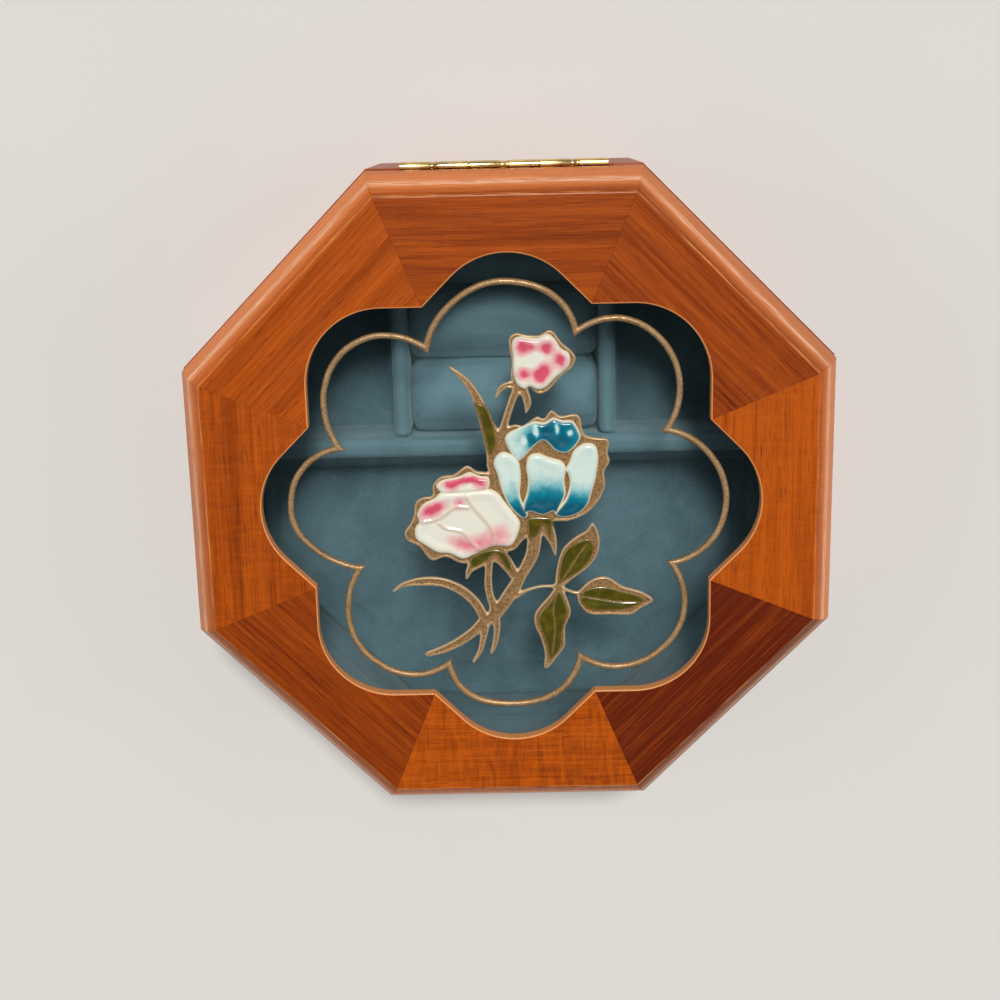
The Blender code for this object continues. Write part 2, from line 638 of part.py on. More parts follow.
def main():
    """Build the whole box."""
    clear_scene()
    parts = collection("jewelry_box")
    cutters = collection("cutters")
    wood = material("stained_wood", (0.36, 0.11, 0.02), 0.35)
    wood_inside = material("plain_wood", (0.42, 0.22, 0.10), 0.6)
    velvet = material("velvet", (0.16, 0.24, 0.29), 0.95)
    glass = material("clear_glass", (0.95, 0.97, 0.97), 0.03, transmission=1.0)
    gold = material("gold_paint", (0.55, 0.32, 0.12), 0.45, metallic=0.7)
    brass = material("brass", (0.80, 0.62, 0.25), 0.25, metallic=1.0)
    enamels = {
        "blue": material("blue_enamel", (0.25, 0.66, 0.78), 0.12),
        "pink": material("pink_enamel", (0.95, 0.80, 0.82), 0.12),
        "green": material("green_enamel", (0.14, 0.22, 0.02), 0.15),
    }
    pivot = bpy.data.objects.new("lid_pivot", None)
    pivot.location = (0, AXIS_Y, AXIS_Z)
    parts.objects.link(pivot)
    bpy.context.view_layer.update()
    hinge_cuts = hinge_cutters(cutters)
    build_walls(wood, parts, hinge_cuts["box"])
    build_insert(wood_inside, velvet, parts)
    build_lid(wood, glass, gold, parts, cutters, hinge_cuts["lid"], pivot)
    build_relief(gold, enamels, parts, cutters, pivot)
    build_hinge(brass, parts, cutters, pivot)


main()
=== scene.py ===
"""The looks of an eight-sided wooden jewelry box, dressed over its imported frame.

Eight mitred boards and eight mitred lid rails in stained wood, a glazed window with a raised floral
spray, a velvet-covered insert with ring rolls, and a brass hinge. Metres throughout, +Z up, the hinge at
the back (+Y), the origin under the middle of the base.
"""

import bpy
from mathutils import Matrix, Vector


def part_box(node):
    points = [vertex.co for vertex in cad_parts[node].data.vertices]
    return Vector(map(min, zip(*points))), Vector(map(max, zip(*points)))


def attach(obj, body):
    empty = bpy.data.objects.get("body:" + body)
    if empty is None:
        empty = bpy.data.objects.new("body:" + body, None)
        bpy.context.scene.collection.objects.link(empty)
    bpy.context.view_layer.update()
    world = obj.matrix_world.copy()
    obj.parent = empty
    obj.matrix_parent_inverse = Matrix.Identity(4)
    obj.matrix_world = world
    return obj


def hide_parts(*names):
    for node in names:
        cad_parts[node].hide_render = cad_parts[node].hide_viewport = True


bl_info = {
    "name": "Wooden Jewelry Box",
    "version": (1, 0, 0),
    "blender": (4, 5, 0),
    "location": "View3D > Sidebar > Jewelry Box",
    "description": "Wood, velvet, glass, relief and hinge of an octagonal jewelry box",
    "category": "Add Mesh",
}

import math

import bmesh
import bpy
from bpy.props import FloatProperty, FloatVectorProperty, IntProperty, PointerProperty
from mathutils import Matrix, Vector, kdtree, noise

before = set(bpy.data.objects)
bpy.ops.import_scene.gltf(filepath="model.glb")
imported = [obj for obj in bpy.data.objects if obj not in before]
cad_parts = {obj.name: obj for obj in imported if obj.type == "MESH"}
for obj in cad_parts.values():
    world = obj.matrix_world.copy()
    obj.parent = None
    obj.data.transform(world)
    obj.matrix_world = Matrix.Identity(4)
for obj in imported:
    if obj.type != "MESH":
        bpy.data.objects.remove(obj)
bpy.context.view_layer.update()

MM = 0.001
SIDES = 8
SIDE_TURN = 2 * math.pi / SIDES
HALF_TURN = SIDE_TURN / 2
SIDE_NAMES = ("right", "back_right", "back", "back_left", "left", "front_left", "front", "front_right")

# Levels and reaches that the frame gives
RAIL_LOW, RAIL_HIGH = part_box("lid_rail_right")
WALL_LOW, WALL_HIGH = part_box("wall_right")
SPRAY_LOW, SPRAY_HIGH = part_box("gold_spray")
ENAMEL_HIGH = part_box("blue_rose_heart")[1]
LINE_LOW, LINE_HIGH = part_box("gold_border")
PIN_LOW, PIN_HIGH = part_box("hinge_pin")
PAD_LOW, PAD_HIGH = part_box("floor_pad")
TOP = RAIL_HIGH.z
AXIS_Y = (PIN_LOW.y + PIN_HIGH.y) / 2
AXIS_Z = (PIN_LOW.z + PIN_HIGH.z) / 2
# Gap that the frame leaves between pieces that touch
TOUCH = PAD_LOW.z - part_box("base_panel")[1].z


def linear(name, text, default):
    """A colour property in linear light."""
    return FloatVectorProperty(name=name, description=text, default=default, subtype="COLOR", size=3,
                               min=0.0, max=1.0)


def length(name, text, default):
    """A length property in metres."""
    return FloatProperty(name=name, description=text, default=default, unit="LENGTH", precision=5)


class BoardSettings(bpy.types.PropertyGroup):
    """Sizes and stain of the boards and the lid rails."""
    band_run: length("Band run", "How far the shaped edge runs out from the face", 0.0055)
    band_depth: length("Band depth", "How far the shaped edge falls to the full width", 0.0085)
    wall: length("Wall", "Thickness of the boards", 0.008)
    frame_width: length("Frame width", "From the face's edge to the deepest part of the window", 0.0135)
    window_arc: length("Window arc", "Radius of each lobe of the window", 0.0184)
    frame_over_glass: length("Frame over glass", "Thickness of the rails over the glass", 0.003)
    mitre_gap: length("Mitre gap", "Open width of each mitre joint", 0.00005)
    stain_dark: linear("Dark stain", "Colour of the darkest boards", (0.095, 0.0066, 0.0005))
    stain_light: linear("Light stain", "Colour of the lightest boards", (0.500, 0.0900, 0.0016))
    # The shaped edge's colour is partly a paler stain and partly painted sheen where the edge catches the
    # light.
    band_colour_and_sheen: linear("Shaped edge", "Colour that the shaped edge fades to", (0.76, 0.25, 0.075))
    plain_colour: linear("Plain wood", "Colour of the bare base", (0.42, 0.22, 0.10))


class VelvetSettings(bpy.types.PropertyGroup):
    """Pile and padding of the insert."""
    colour: linear("Velvet", "Colour of the pile", (0.105, 0.192, 0.225))
    voxel: length("Voxel", "Mesh size of the padded pieces", 0.0009)
    ripple: length("Ripple", "Unevenness of the padding", 0.00018)
    pressure: FloatProperty(name="Pressure", description="Swelling of the ring rolls in the simulation",
                            default=4.0)
    swell: length("Swell", "Most that a point of a ring roll may move", 0.0008)
    frames: IntProperty(name="Frames", description="Length of the simulation", default=20)


class GlassSettings(bpy.types.PropertyGroup):
    """The pane in the lid."""
    edge: length("Eased edge", "Width of the pane's eased edge", 0.0003)
    alpha: FloatProperty(name="Body", description="How much of the pane shows", default=0.2,
                         subtype="FACTOR", min=0.0, max=1.0)


class ReliefSettings(bpy.types.PropertyGroup):
    """The gold and enamel relief on the glass."""
    line_width: length("Line width", "Width of the gold line", 0.0016)
    cusp_depth: length("Cusp depth", "How far the cusps of the gold line lie inside its reach", 0.01076)
    voxel: length("Voxel", "Mesh size of the relief", 0.00025)
    gold_rim: length("Gold rim", "Width of the raised rim along the gold", 0.00035)
    gold_dip: length("Gold dip", "How far the gold lies below its rim", 0.00016)
    dome: length("Dome", "Distance over which the enamel rises from its edge", 0.0012)
    enamel_rim: length("Enamel rim", "Where the pale rim of the enamel starts to fade", 0.00022)
    enamel_rim_end: length("End of enamel rim", "Where the pale rim of the enamel ends", 0.00062)
    gold: linear("Gold", "Body of the gold paste", (0.29, 0.165, 0.064))
    # On the gold line, this light colour is a painted highlight on the crown.
    gold_light: linear("Light gold", "Rim of the gold paste", (0.70, 0.52, 0.32))
    cream: linear("Cream", "Pale part of the pink enamel", (0.80, 0.79, 0.68))
    pink: linear("Pink", "Blotches of the pink enamel", (0.68, 0.085, 0.16))
    pale_pink: linear("Pale pink", "Soft edge of the blotches", (0.80, 0.46, 0.46))
    frost: linear("Frost", "Pale part of the blue enamel", (0.64, 0.78, 0.72))
    aqua: linear("Aqua", "Middle part of the blue enamel", (0.16, 0.47, 0.52))
    sea: linear("Sea", "Darker part of the blue enamel", (0.0, 0.20, 0.29))
    teal: linear("Teal", "Deepest part of the blue enamel", (0.0, 0.10, 0.165))
    leaf: linear("Leaf", "Green enamel", (0.060, 0.055, 0.0008))


class HingeSettings(bpy.types.PropertyGroup):
    """The brass hinge at the back."""
    knuckle_radius: length("Knuckle radius", "Outer radius of the barrel", 0.0011)
    bore_radius: length("Bore radius", "Radius of the hole for the pin", 0.0007)
    long_knuckle: length("Long knuckle", "Length of the lid's knuckles", 0.0092)
    knuckle_gap: length("Knuckle gap", "Gap between knuckles", 0.0003)
    leaf_thickness: length("Leaf thickness", "Thickness of each leaf", 0.0006)
    recess_end: length("Recess end", "Room at each end of the recess", 0.0012)
    brass: linear("Brass", "Colour of the metal", (0.95, 0.70, 0.30))


class StageSettings(bpy.types.PropertyGroup):
    """Camera, light and floor."""
    camera_place: FloatVectorProperty(name="Camera", description="Place of the camera",
                                      default=(0.00183, 0.09175, 0.42008), subtype="TRANSLATION",
                                      unit="LENGTH")
    lens: FloatProperty(name="Lens", description="Focal length in millimetres", default=54.85)
    camera_turn: FloatVectorProperty(name="Camera turn", description="Turn of the camera about X, Y and Z",
                                     default=[math.radians(angle) for angle in (-14.1040, 0.3858, -1.3031)],
                                     subtype="EULER", unit="ROTATION")
    key_power: FloatProperty(name="Key light", description="Strength of the key light", default=2.74)
    fill_power: FloatProperty(name="Fill lights", description="Power of each fill light in watts",
                              default=1.5)
    sky: linear("Overhead", "Light of the surroundings overhead", (0.10, 0.10, 0.105))
    horizon: linear("Horizon", "Light of the surroundings at the horizon", (0.50, 0.495, 0.49))
    floor: linear("Floor", "Colour of the floor", (0.72, 0.71, 0.69))


SETTINGS = {
    "box_boards": BoardSettings,
    "box_velvet": VelvetSettings,
    "box_glass": GlassSettings,
    "box_relief": ReliefSettings,
    "box_hinge": HingeSettings,
    "box_stage": StageSettings,
}


# Pieces and meshes

def mesh_from(bm, name):
    """The bmesh as a mesh, its doubles merged and its faces pointing out."""
    bmesh.ops.remove_doubles(bm, verts=bm.verts, dist=1e-6)
    bmesh.ops.recalc_face_normals(bm, faces=bm.faces)
    mesh = bpy.data.meshes.new(name)
    bm.to_mesh(mesh)
    bm.free()
    return mesh


def merged_copy(node):
    """A bmesh of a node's own mesh, its loose triangles merged into flat faces."""
    bm = bmesh.new()
    bm.from_mesh(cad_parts[node].data)
    bmesh.ops.remove_doubles(bm, verts=bm.verts, dist=1e-6)
    bmesh.ops.dissolve_limit(bm, angle_limit=math.radians(1), verts=bm.verts, edges=bm.edges)
    return bm


def link(mesh, name):
    """An object for the mesh, at the origin."""
    piece = bpy.data.objects.new(name, mesh)
    bpy.context.scene.collection.objects.link(piece)
    return piece


def with_modifiers(mesh, *steps):
    """The mesh as the modifiers leave it; each step is a kind and its settings."""
    helper = link(mesh, "helper")
    for kind, settings in steps:
        modifier = helper.modifiers.new(kind.lower(), kind)
        for key, value in settings.items():
            setattr(modifier, key, value)
    graph = bpy.context.evaluated_depsgraph_get()
    made = bpy.data.meshes.new_from_object(helper.evaluated_get(graph))
    bpy.data.objects.remove(helper)
    return made


def cut(mesh, tools, operation="DIFFERENCE", solver="EXACT"):
    """The mesh with each tool mesh cut away or joined."""
    helpers = [link(tool, f"tool_{index}") for index, tool in enumerate(tools)]
    steps = [("BOOLEAN", {"operation": operation, "solver": solver, "object": helper})
             for helper in helpers]
    made = with_modifiers(mesh, *steps)
    for helper in helpers:
        bpy.data.objects.remove(helper)
    return made


def shade(mesh, angle=35):
    """Smooth shading that keeps the corners sharp."""
    mesh.shade_smooth()
    mesh.set_sharp_from_angle(angle=math.radians(angle))


def finish_piece(name, mesh, material, body, node):
    """A finished piece: its material, the body it rides on and the node it stands for."""
    mesh.materials.clear()
    mesh.materials.append(material)
    piece = link(mesh, name)
    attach(piece, body)
    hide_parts(node)
    return piece


def slab(low, high):
    """A box between two corners."""
    low, high = Vector(low), Vector(high)
    bm = bmesh.new()
    size = Matrix.Diagonal((*(high - low), 1.0))
    bmesh.ops.create_cube(bm, size=1.0, matrix=Matrix.Translation((low + high) / 2) @ size)
    return mesh_from(bm, "slab")


def plate(outline, base, top):
    """An upright prism on a flat outline."""
    bm = bmesh.new()
    face = bm.faces.new([bm.verts.new((x, y, base)) for x, y in outline])
    lifted = bmesh.ops.extrude_face_region(bm, geom=[face])
    risen = [item for item in lifted["geom"] if isinstance(item, bmesh.types.BMVert)]
    bmesh.ops.translate(bm, vec=(0, 0, top - base), verts=risen)
    return mesh_from(bm, "plate")


# Material nodes

def new_finish(name):
    """A material, its node tree and its shader."""
    material = bpy.data.materials.new(name)
    material.use_nodes = True
    return material, material.node_tree, material.node_tree.nodes["Principled BSDF"]


def feed(tree, socket, value):
    """Link a socket into another, or set the socket's own value."""
    if isinstance(value, bpy.types.NodeSocket):
        tree.links.new(value, socket)
    elif socket.type == "RGBA" and len(value) == 3:
        socket.default_value = (*value, 1.0)
    else:
        socket.default_value = value


def add(tree, kind, values, output=0, **settings):
    """A node with its settings and inputs; gives the socket that it puts out."""
    node = tree.nodes.new(kind)
    for key, value in settings.items():
        setattr(node, key, value)
    for socket, value in values.items():
        feed(tree, node.inputs[socket], value)
    return node.outputs[output]


def calc(tree, operation, a, b=0.0):
    """A sum, product or other calculation."""
    return add(tree, "ShaderNodeMath", {0: a, 1: b}, operation=operation)


def blend(tree, share, a, b):
    """Colour a changed towards colour b."""
    return add(tree, "ShaderNodeMix", {0: share, 6: a, 7: b}, output=2, data_type="RGBA")


def tinted(colour, factor):
    """The colour made darker or lighter."""
    return tuple(factor * value for value in colour)


def between(tree, value, low, high, low_out=0.0, high_out=1.0):
    """A smooth step of the value from low to high."""
    return add(tree, "ShaderNodeMapRange", {0: value, 1: low, 2: high, 3: low_out, 4: high_out},
               interpolation_type="SMOOTHSTEP")


def object_space(tree, size=(1, 1, 1), turn=0.0, shift=(0, 0, 0)):
    """Object coordinates turned back by an angle about Z and measured in features of this size."""
    place = add(tree, "ShaderNodeTexCoord", {}, output=3)
    return add(tree, "ShaderNodeMapping", {0: place, 1: shift, 2: (0, 0, turn), 3: size},
               vector_type="TEXTURE")


def grain(tree, size, turn=0.0, shift=(0, 0, 0), detail=2.0, rough=0.5, warp=0.0):
    """Noise whose features have this size; equal sizes give round ones."""
    if isinstance(size, float):
        size = (size, size, size)
    place = object_space(tree, size, turn, shift)
    return add(tree, "ShaderNodeTexNoise",
               {"Vector": place, "Scale": 1.0, "Detail": detail, "Roughness": rough, "Distortion": warp})


def attribute(tree, name):
    """A value that the mesh carries."""
    return add(tree, "ShaderNodeAttribute", {}, output=2, attribute_name=name)


def bump(tree, height, strength, distance):
    """A normal from a height."""
    return add(tree, "ShaderNodeBump", {"Height": height, "Strength": strength, "Distance": distance})


# Wood

# How far each side's boards lie from the dark stain to the light one: partly the boards' own tone, partly
# painted light and shade that makes up for how the light falls on each side
SIDE_TONE_AND_LIGHT = {
    "right": 0.84, "back_right": 0.45, "back": 0.53, "back_left": 0.74,
    "left": 0.65, "front_left": 0.38, "front": 0.76, "front_right": 0.04,
}
# How strong the curly figure across the grain is on each lid rail
SIDE_CURL = {"front": 1.15, "left": 0.52, "right": 0.415}
FAINT_CURL = 0.10
# Sizes of the wood's features: across the board, along it, and through it
FIGURE = (0.0055, 0.100, 0.0055)
STREAKS = (0.0009, 0.058, 0.0009)
FIBRES = (0.00030, 0.0120, 0.00030)
CURL = (0.0080, 0.0014, 0.0080)
PORES = (0.00022, 0.0048, 0.00022)
PORE_COLOUR = (0.055, 0.0075, 0.0006)
# Paler marks: a painted highlight along the ridge and a painted glint at the face's edge, both speckled like
# worn varnish; and the window's wall, which the stain leaves paler
RIDGE_WEAR_AND_HIGHLIGHT = (0.95, 0.62, 0.42)
EDGE_WEAR_AND_GLINT = (0.75, 0.30, 0.09)
WINDOW_LIGHT = (0.95, 0.42, 0.15)
WINDOW_DARK = (0.50, 0.14, 0.035)
RIPPLE_PITCH = 0.66 * MM
# Where the ridge of the shaped edge lies, as shares of the edge's run and depth
RIDGE_RUN = 0.52
RIDGE_DEPTH = 0.36


def toned(tree, parts):
    """Noises that swing about their middle, each by its own weight, added up."""
    total = 0.0
    for value, weight in parts:
        total = calc(tree, "ADD", total, calc(tree, "MULTIPLY", calc(tree, "SUBTRACT", value, 0.5), weight))
    return total


def wood_finish(side):
    """Stained, varnished wood of one side, its figure, fibres and pores running along the board."""
    settings = bpy.context.scene.box_boards
    index = SIDE_NAMES.index(side)
    turn = index * SIDE_TURN
    shift = (0.31 * index, 0.17 * index, 0.0)
    material, tree, shader = new_finish(f"stained_wood_{side}")
    figure = grain(tree, FIGURE, turn, shift, detail=2, warp=0.7)
    streaks = grain(tree, STREAKS, turn, shift, detail=3, warp=0.2)
    fibres = grain(tree, FIBRES, turn, shift, detail=2, rough=0.6)
    curl = grain(tree, CURL, turn, shift, detail=2, warp=0.9)
    pores = grain(tree, PORES, turn, shift, detail=2)
    out = add(tree, "ShaderNodeSeparateXYZ", {0: object_space(tree, turn=turn)})
    in_lid = between(tree, out.node.outputs[2], RAIL_LOW.z - 0.001, RAIL_LOW.z + 0.006)
    curl_weight = calc(tree, "MULTIPLY", in_lid, SIDE_CURL.get(side, FAINT_CURL))
    tone = toned(tree, ((figure, 0.75), (streaks, 0.85), (fibres, 0.95), (curl, curl_weight)))
    tone = add(tree, "ShaderNodeClamp", {0: calc(tree, "ADD", tone, SIDE_TONE_AND_LIGHT[side])})
    colour = blend(tree, tone, tuple(settings.stain_dark), tuple(settings.stain_light))
    pore = between(tree, pores, 0.60, 0.72)
    colour = blend(tree, calc(tree, "MULTIPLY", pore, 0.6), colour, PORE_COLOUR)
    face_edge = RAIL_HIGH.x - settings.band_run
    ridge = face_edge + settings.band_run * RIDGE_RUN
    # The shaped edge fades to a paler colour: partly a paler stain, partly painted sheen of light on the
    # edge.
    on_band = between(tree, out, face_edge - 0.0002, face_edge + 0.0030)
    pale = calc(tree, "MULTIPLY", on_band, calc(tree, "MULTIPLY", in_lid, 0.72))
    stain_and_sheen = blend(tree, tone, tinted(settings.band_colour_and_sheen, 0.60), tinted(settings.band_colour_and_sheen, 1.18))
    colour = blend(tree, pale, colour, stain_and_sheen)
    speckle = between(tree, calc(tree, "ADD", calc(tree, "MULTIPLY", fibres, 0.6),
                                 calc(tree, "MULTIPLY", pores, 0.4)), 0.38, 0.62)
    # Painted highlight along the ridge and painted glint along the face's edge, each broken by speckle like
    # worn varnish.
    for line, width, light, share in ((ridge, 0.9 * MM, RIDGE_WEAR_AND_HIGHLIGHT, 0.75),
                                      (face_edge, 0.5 * MM, EDGE_WEAR_AND_GLINT, 0.8)):
        away = calc(tree, "ABSOLUTE", calc(tree, "SUBTRACT", out, line))
        near = calc(tree, "MULTIPLY", between(tree, away, width, 0.0), in_lid)
        wear_and_highlight = calc(tree, "MULTIPLY", calc(tree, "MULTIPLY", near, speckle), share)
        colour = blend(tree, wear_and_highlight, colour, light)
    window = attribute(tree, "window_edge")
    run = calc(tree, "MULTIPLY", attribute(tree, "window_run"), 2 * math.pi / RIPPLE_PITCH)
    ripple = calc(tree, "MULTIPLY", calc(tree, "SINE", run), window)
    colour = blend(tree, calc(tree, "MULTIPLY", window, 0.85), colour, WINDOW_LIGHT)
    colour = blend(tree, between(tree, ripple, -0.2, 0.9, 0.0, 0.55), colour, WINDOW_DARK)
    feed(tree, shader.inputs["Base Color"], colour)
    feed(tree, shader.inputs["Roughness"], between(tree, streaks, 0.3, 0.7, 0.34, 0.48))
    shader.inputs["Specular IOR Level"].default_value = 0.13
    shader.inputs["Coat Weight"].default_value = 0.08
    shader.inputs["Coat Roughness"].default_value = 0.2
    relief = calc(tree, "SUBTRACT", calc(tree, "MULTIPLY", fibres, 0.5), pore)
    relief = calc(tree, "ADD", relief, calc(tree, "MULTIPLY", ripple, 0.6))
    feed(tree, shader.inputs["Normal"], bump(tree, relief, 0.25, 0.00006))
    return material


def plain_finish():
    """Bare sanded wood."""
    settings = bpy.context.scene.box_boards
    material, tree, shader = new_finish("plain_wood")
    streaks = grain(tree, (0.0022, 0.07, 0.0022), detail=3, warp=0.6)
    fibres = grain(tree, (0.0003, 0.010, 0.0003))
    tone = calc(tree, "ADD", calc(tree, "MULTIPLY", streaks, 0.7), calc(tree, "MULTIPLY", fibres, 0.3))
    light = tuple(settings.plain_colour)
    colour = blend(tree, between(tree, tone, 0.3, 0.7), tinted(light, 0.55), light)
    feed(tree, shader.inputs["Base Color"], colour)
    shader.inputs["Roughness"].default_value = 0.62
    feed(tree, shader.inputs["Normal"], bump(tree, fibres, 0.3, 0.00008))
    return material


def section_face(bm, section, rounding):
    """A section of (out, z) that stands on the mitre plane, its corners rounded first."""
    corners = [bm.verts.new((out, 0, z)) for out, z in section]
    bm.faces.new(corners)
    for index, radius in rounding.items():
        bmesh.ops.bevel(bm, geom=[corners[index]], offset=radius, segments=5, profile=0.5,
                        affect="VERTICES", material=-1)
    slope = math.tan(HALF_TURN)
    for vert in bm.verts:
        vert.co.y = vert.co.x * slope
    return bm.faces[:]


def board(section, rounding, gap):
    """One board of the octagon on the +X side, swept from mitre to mitre, with its joint's gap."""
    pull = gap / (2 * math.sin(HALF_TURN))
    bm = bmesh.new()
    drawn = [(out - pull, z) for out, z in section]
    faces = section_face(bm, drawn, rounding)
    bmesh.ops.spin(bm, geom=faces, cent=(0, 0, 0), axis=(0, 0, 1), angle=-SIDE_TURN, steps=1)
    bmesh.ops.translate(bm, vec=(pull, 0, 0), verts=bm.verts)
    return mesh_from(bm, "board")


def window_lobe(settings, steps=28):
    """The window's outline on the +X side: an arc, straight flanks, and past the mitres to the middle."""
    reach = RAIL_HIGH.x - settings.band_run - settings.frame_width
    radius = settings.window_arc
    centre = reach - radius
    flank = math.radians(45)
    slope = math.tan(HALF_TURN)
    lobe = []
    for step in range(steps + 1):
        angle = -flank + 2 * flank * step / steps
        lobe.append((centre + radius * math.cos(angle), radius * math.sin(angle)))
    out, along = lobe[-1]
    fall = (out * slope - along) / (1 + slope) + MM
    lobe.append((out - fall, along + fall))
    lobe.append((0, 0))
    lobe.append((out - fall, -along - fall))
    return lobe


def rail_section(settings):
    """Section of a lid rail of (out, z), and the rounding of its corners."""
    half = RAIL_HIGH.x
    face = half - settings.band_run
    skirt = half - settings.wall
    ridge_out = face + settings.band_run * RIDGE_RUN
    ridge_z = TOP - settings.band_depth * RIDGE_DEPTH
    plate_z = TOP - settings.frame_over_glass
    inner = 30 * MM  # nearer the middle than any part of the window's edge
    section = [(skirt, RAIL_LOW.z), (half, RAIL_LOW.z), (half, TOP - settings.band_depth),
               (ridge_out, ridge_z), (face, TOP), (inner, TOP), (inner, plate_z), (skirt, plate_z)]
    return section, {1: 0.0004, 2: 0.0010, 3: 0.0010, 4: 0.0005}


def ease_window(mesh, radius):
    """Round the window's upper edge and mark the window's wall for the finish."""
    bm = bmesh.new()
    bm.from_mesh(mesh)
    bmesh.ops.remove_doubles(bm, verts=bm.verts, dist=1e-6)
    bmesh.ops.recalc_face_normals(bm, faces=bm.faces)
    settings = bpy.context.scene.box_boards
    reach = RAIL_HIGH.x - settings.band_run - settings.frame_width
    limit = reach + 0.1 * MM

    def on_wall(face):
        upright = abs(face.normal.z) < 0.5
        inward = face.normal.x < -0.3 and abs(face.normal.y) < 0.85
        return upright and inward and face.calc_center_median().x < limit

    def on_top(edge):
        return all(abs(vert.co.z - TOP) < 1e-6 for vert in edge.verts)

    rim = [edge for face in bm.faces if on_wall(face) for edge in face.edges if on_top(edge)]
    result = bmesh.ops.bevel(bm, geom=list(set(rim)), offset=radius, segments=4, profile=0.5,
                             affect="EDGES", material=-1, clamp_overlap=True)
    bm.verts.index_update()
    wall_verts = {vert.index for face in result["faces"] for vert in face.verts}
    wall_verts |= {vert.index for face in bm.faces if on_wall(face) for vert in face.verts}
    mark = bm.verts.layers.float.new("window_edge")
    run = bm.verts.layers.float.new("window_run")
    centre = reach - settings.window_arc
    for vert in bm.verts:
        if vert.index in wall_verts:
            vert[mark] = 1.0 if vert.co.z < TOP - 1e-5 else 0.0
            vert[run] = settings.window_arc * math.atan2(vert.co.y, vert.co.x - centre)
    made = bpy.data.meshes.new("rail")
    bm.to_mesh(made)
    bm.free()
    return made


def hinge_cutters(owner):
    """The recess for a leaf and the notch for the barrel, in the wall or in the rail."""
    settings = bpy.context.scene.box_hinge
    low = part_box(f"hinge_leaf_{owner}")[0]
    half = PIN_HIGH.x + settings.recess_end
    notch_y = AXIS_Y - settings.knuckle_radius - TOUCH
    leaf_y = low.y - TOUCH
    side = 1 if owner == "lid" else -1
    seat = RAIL_LOW.z if owner == "lid" else WALL_HIGH.z
    recess = seat + side * (settings.leaf_thickness + TOUCH)
    notch = AXIS_Z + side * (settings.knuckle_radius + TOUCH)
    past = side * 0.8 * MM
    tools = []
    for low_y, high_y, deep in ((leaf_y, notch_y + TOUCH, recess), (notch_y, AXIS_Y + MM, notch)):
        low_z, high_z = sorted((seat - past, deep))
        tools.append(slab((-half, low_y, low_z), (half, high_y, high_z)))
    return tools


class BOX_OT_boards(bpy.types.Operator):
    """Dress the eight boards and the eight lid rails in stained wood, and the base in plain wood"""
    bl_idname = "jewelry_box.boards"
    bl_label = "Boards and rails"

    def execute(self, context):
        settings = context.scene.box_boards
        section, rounding = rail_section(settings)
        rail = board(section, rounding, settings.mitre_gap)
        window = plate(window_lobe(settings), TOP - 12 * MM, TOP + 10 * MM)
        rail = ease_window(cut(rail, [window]), 0.0004)
        outer, inner = WALL_HIGH.x, WALL_HIGH.x - settings.wall
        section = [(inner, WALL_LOW.z), (outer, WALL_LOW.z), (outer, WALL_HIGH.z), (inner, WALL_HIGH.z)]
        wall = board(section, {0: 0.0003, 1: 0.0006, 2: 0.0005, 3: 0.0004}, settings.mitre_gap)
        for index, side in enumerate(SIDE_NAMES):
            material = wood_finish(side)
            for kind, source, body, owner in (("wall", wall, "box", "box"), ("lid_rail", rail, "lid", "lid")):
                mesh = source.copy()
                mesh.transform(Matrix.Rotation(index * SIDE_TURN, 4, "Z"))
                if side == "back":
                    mesh = cut(mesh, hinge_cutters(owner))
                shade(mesh)
                name = f"{kind}_{side}"
                piece = finish_piece(f"{name}_wood", mesh, material, body, name)
                flat = piece.modifiers.new("Flat faces", "WEIGHTED_NORMAL")
                flat.keep_sharp = True
        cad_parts["base_panel"].data.materials.clear()
        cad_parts["base_panel"].data.materials.append(plain_finish())
        return {"FINISHED"}


# Velvet

LINT_COLOUR = (0.55, 0.58, 0.58)


def velvet_finish():
    """Short grey-blue pile with patches and a few specks of lint, and painted light that makes it lighter
    higher up in the box.
    """
    settings = bpy.context.scene.box_velvet
    material, tree, shader = new_finish("velvet")
    patches = grain(tree, 0.011, detail=3, warp=0.6)
    nap = grain(tree, 0.00045, detail=2)
    pile = grain(tree, 0.00014, detail=1)
    base = settings.colour
    tone = calc(tree, "ADD", calc(tree, "MULTIPLY", patches, 0.6), calc(tree, "MULTIPLY", nap, 0.4))
    colour = blend(tree, between(tree, tone, 0.32, 0.68), tinted(base, 0.72), tinted(base, 1.24))
    # Painted light: the pile grows lighter higher up in the box, where more light reaches it.
    height = add(tree, "ShaderNodeSeparateXYZ", {0: object_space(tree)}, output=2)
    painted_light_by_height = between(tree, height, PAD_HIGH.z + 0.004, PAD_HIGH.z + 0.015)
    colour = blend(tree, calc(tree, "MULTIPLY", painted_light_by_height, 0.42), colour, tinted(base, 1.9))
    specks = add(tree, "ShaderNodeTexVoronoi", {"Vector": object_space(tree, (0.004, 0.004, 0.004)),
                                                "Scale": 1.0}, output=0)
    lint = between(tree, specks, 0.045, 0.02)
    colour = blend(tree, calc(tree, "MULTIPLY", lint, 0.5), colour, LINT_COLOUR)
    feed(tree, shader.inputs["Base Color"], colour)
    shader.inputs["Roughness"].default_value = 0.95
    shader.inputs["Specular IOR Level"].default_value = 0.1
    shader.inputs["Sheen Weight"].default_value = 0.6
    shader.inputs["Sheen Roughness"].default_value = 0.4
    shader.inputs["Sheen Tint"].default_value = (0.60, 0.75, 0.80, 1.0)
    fuzz = calc(tree, "ADD", nap, calc(tree, "MULTIPLY", pile, 0.6))
    feed(tree, shader.inputs["Normal"], bump(tree, fuzz, 0.35, 0.00012))
    return material


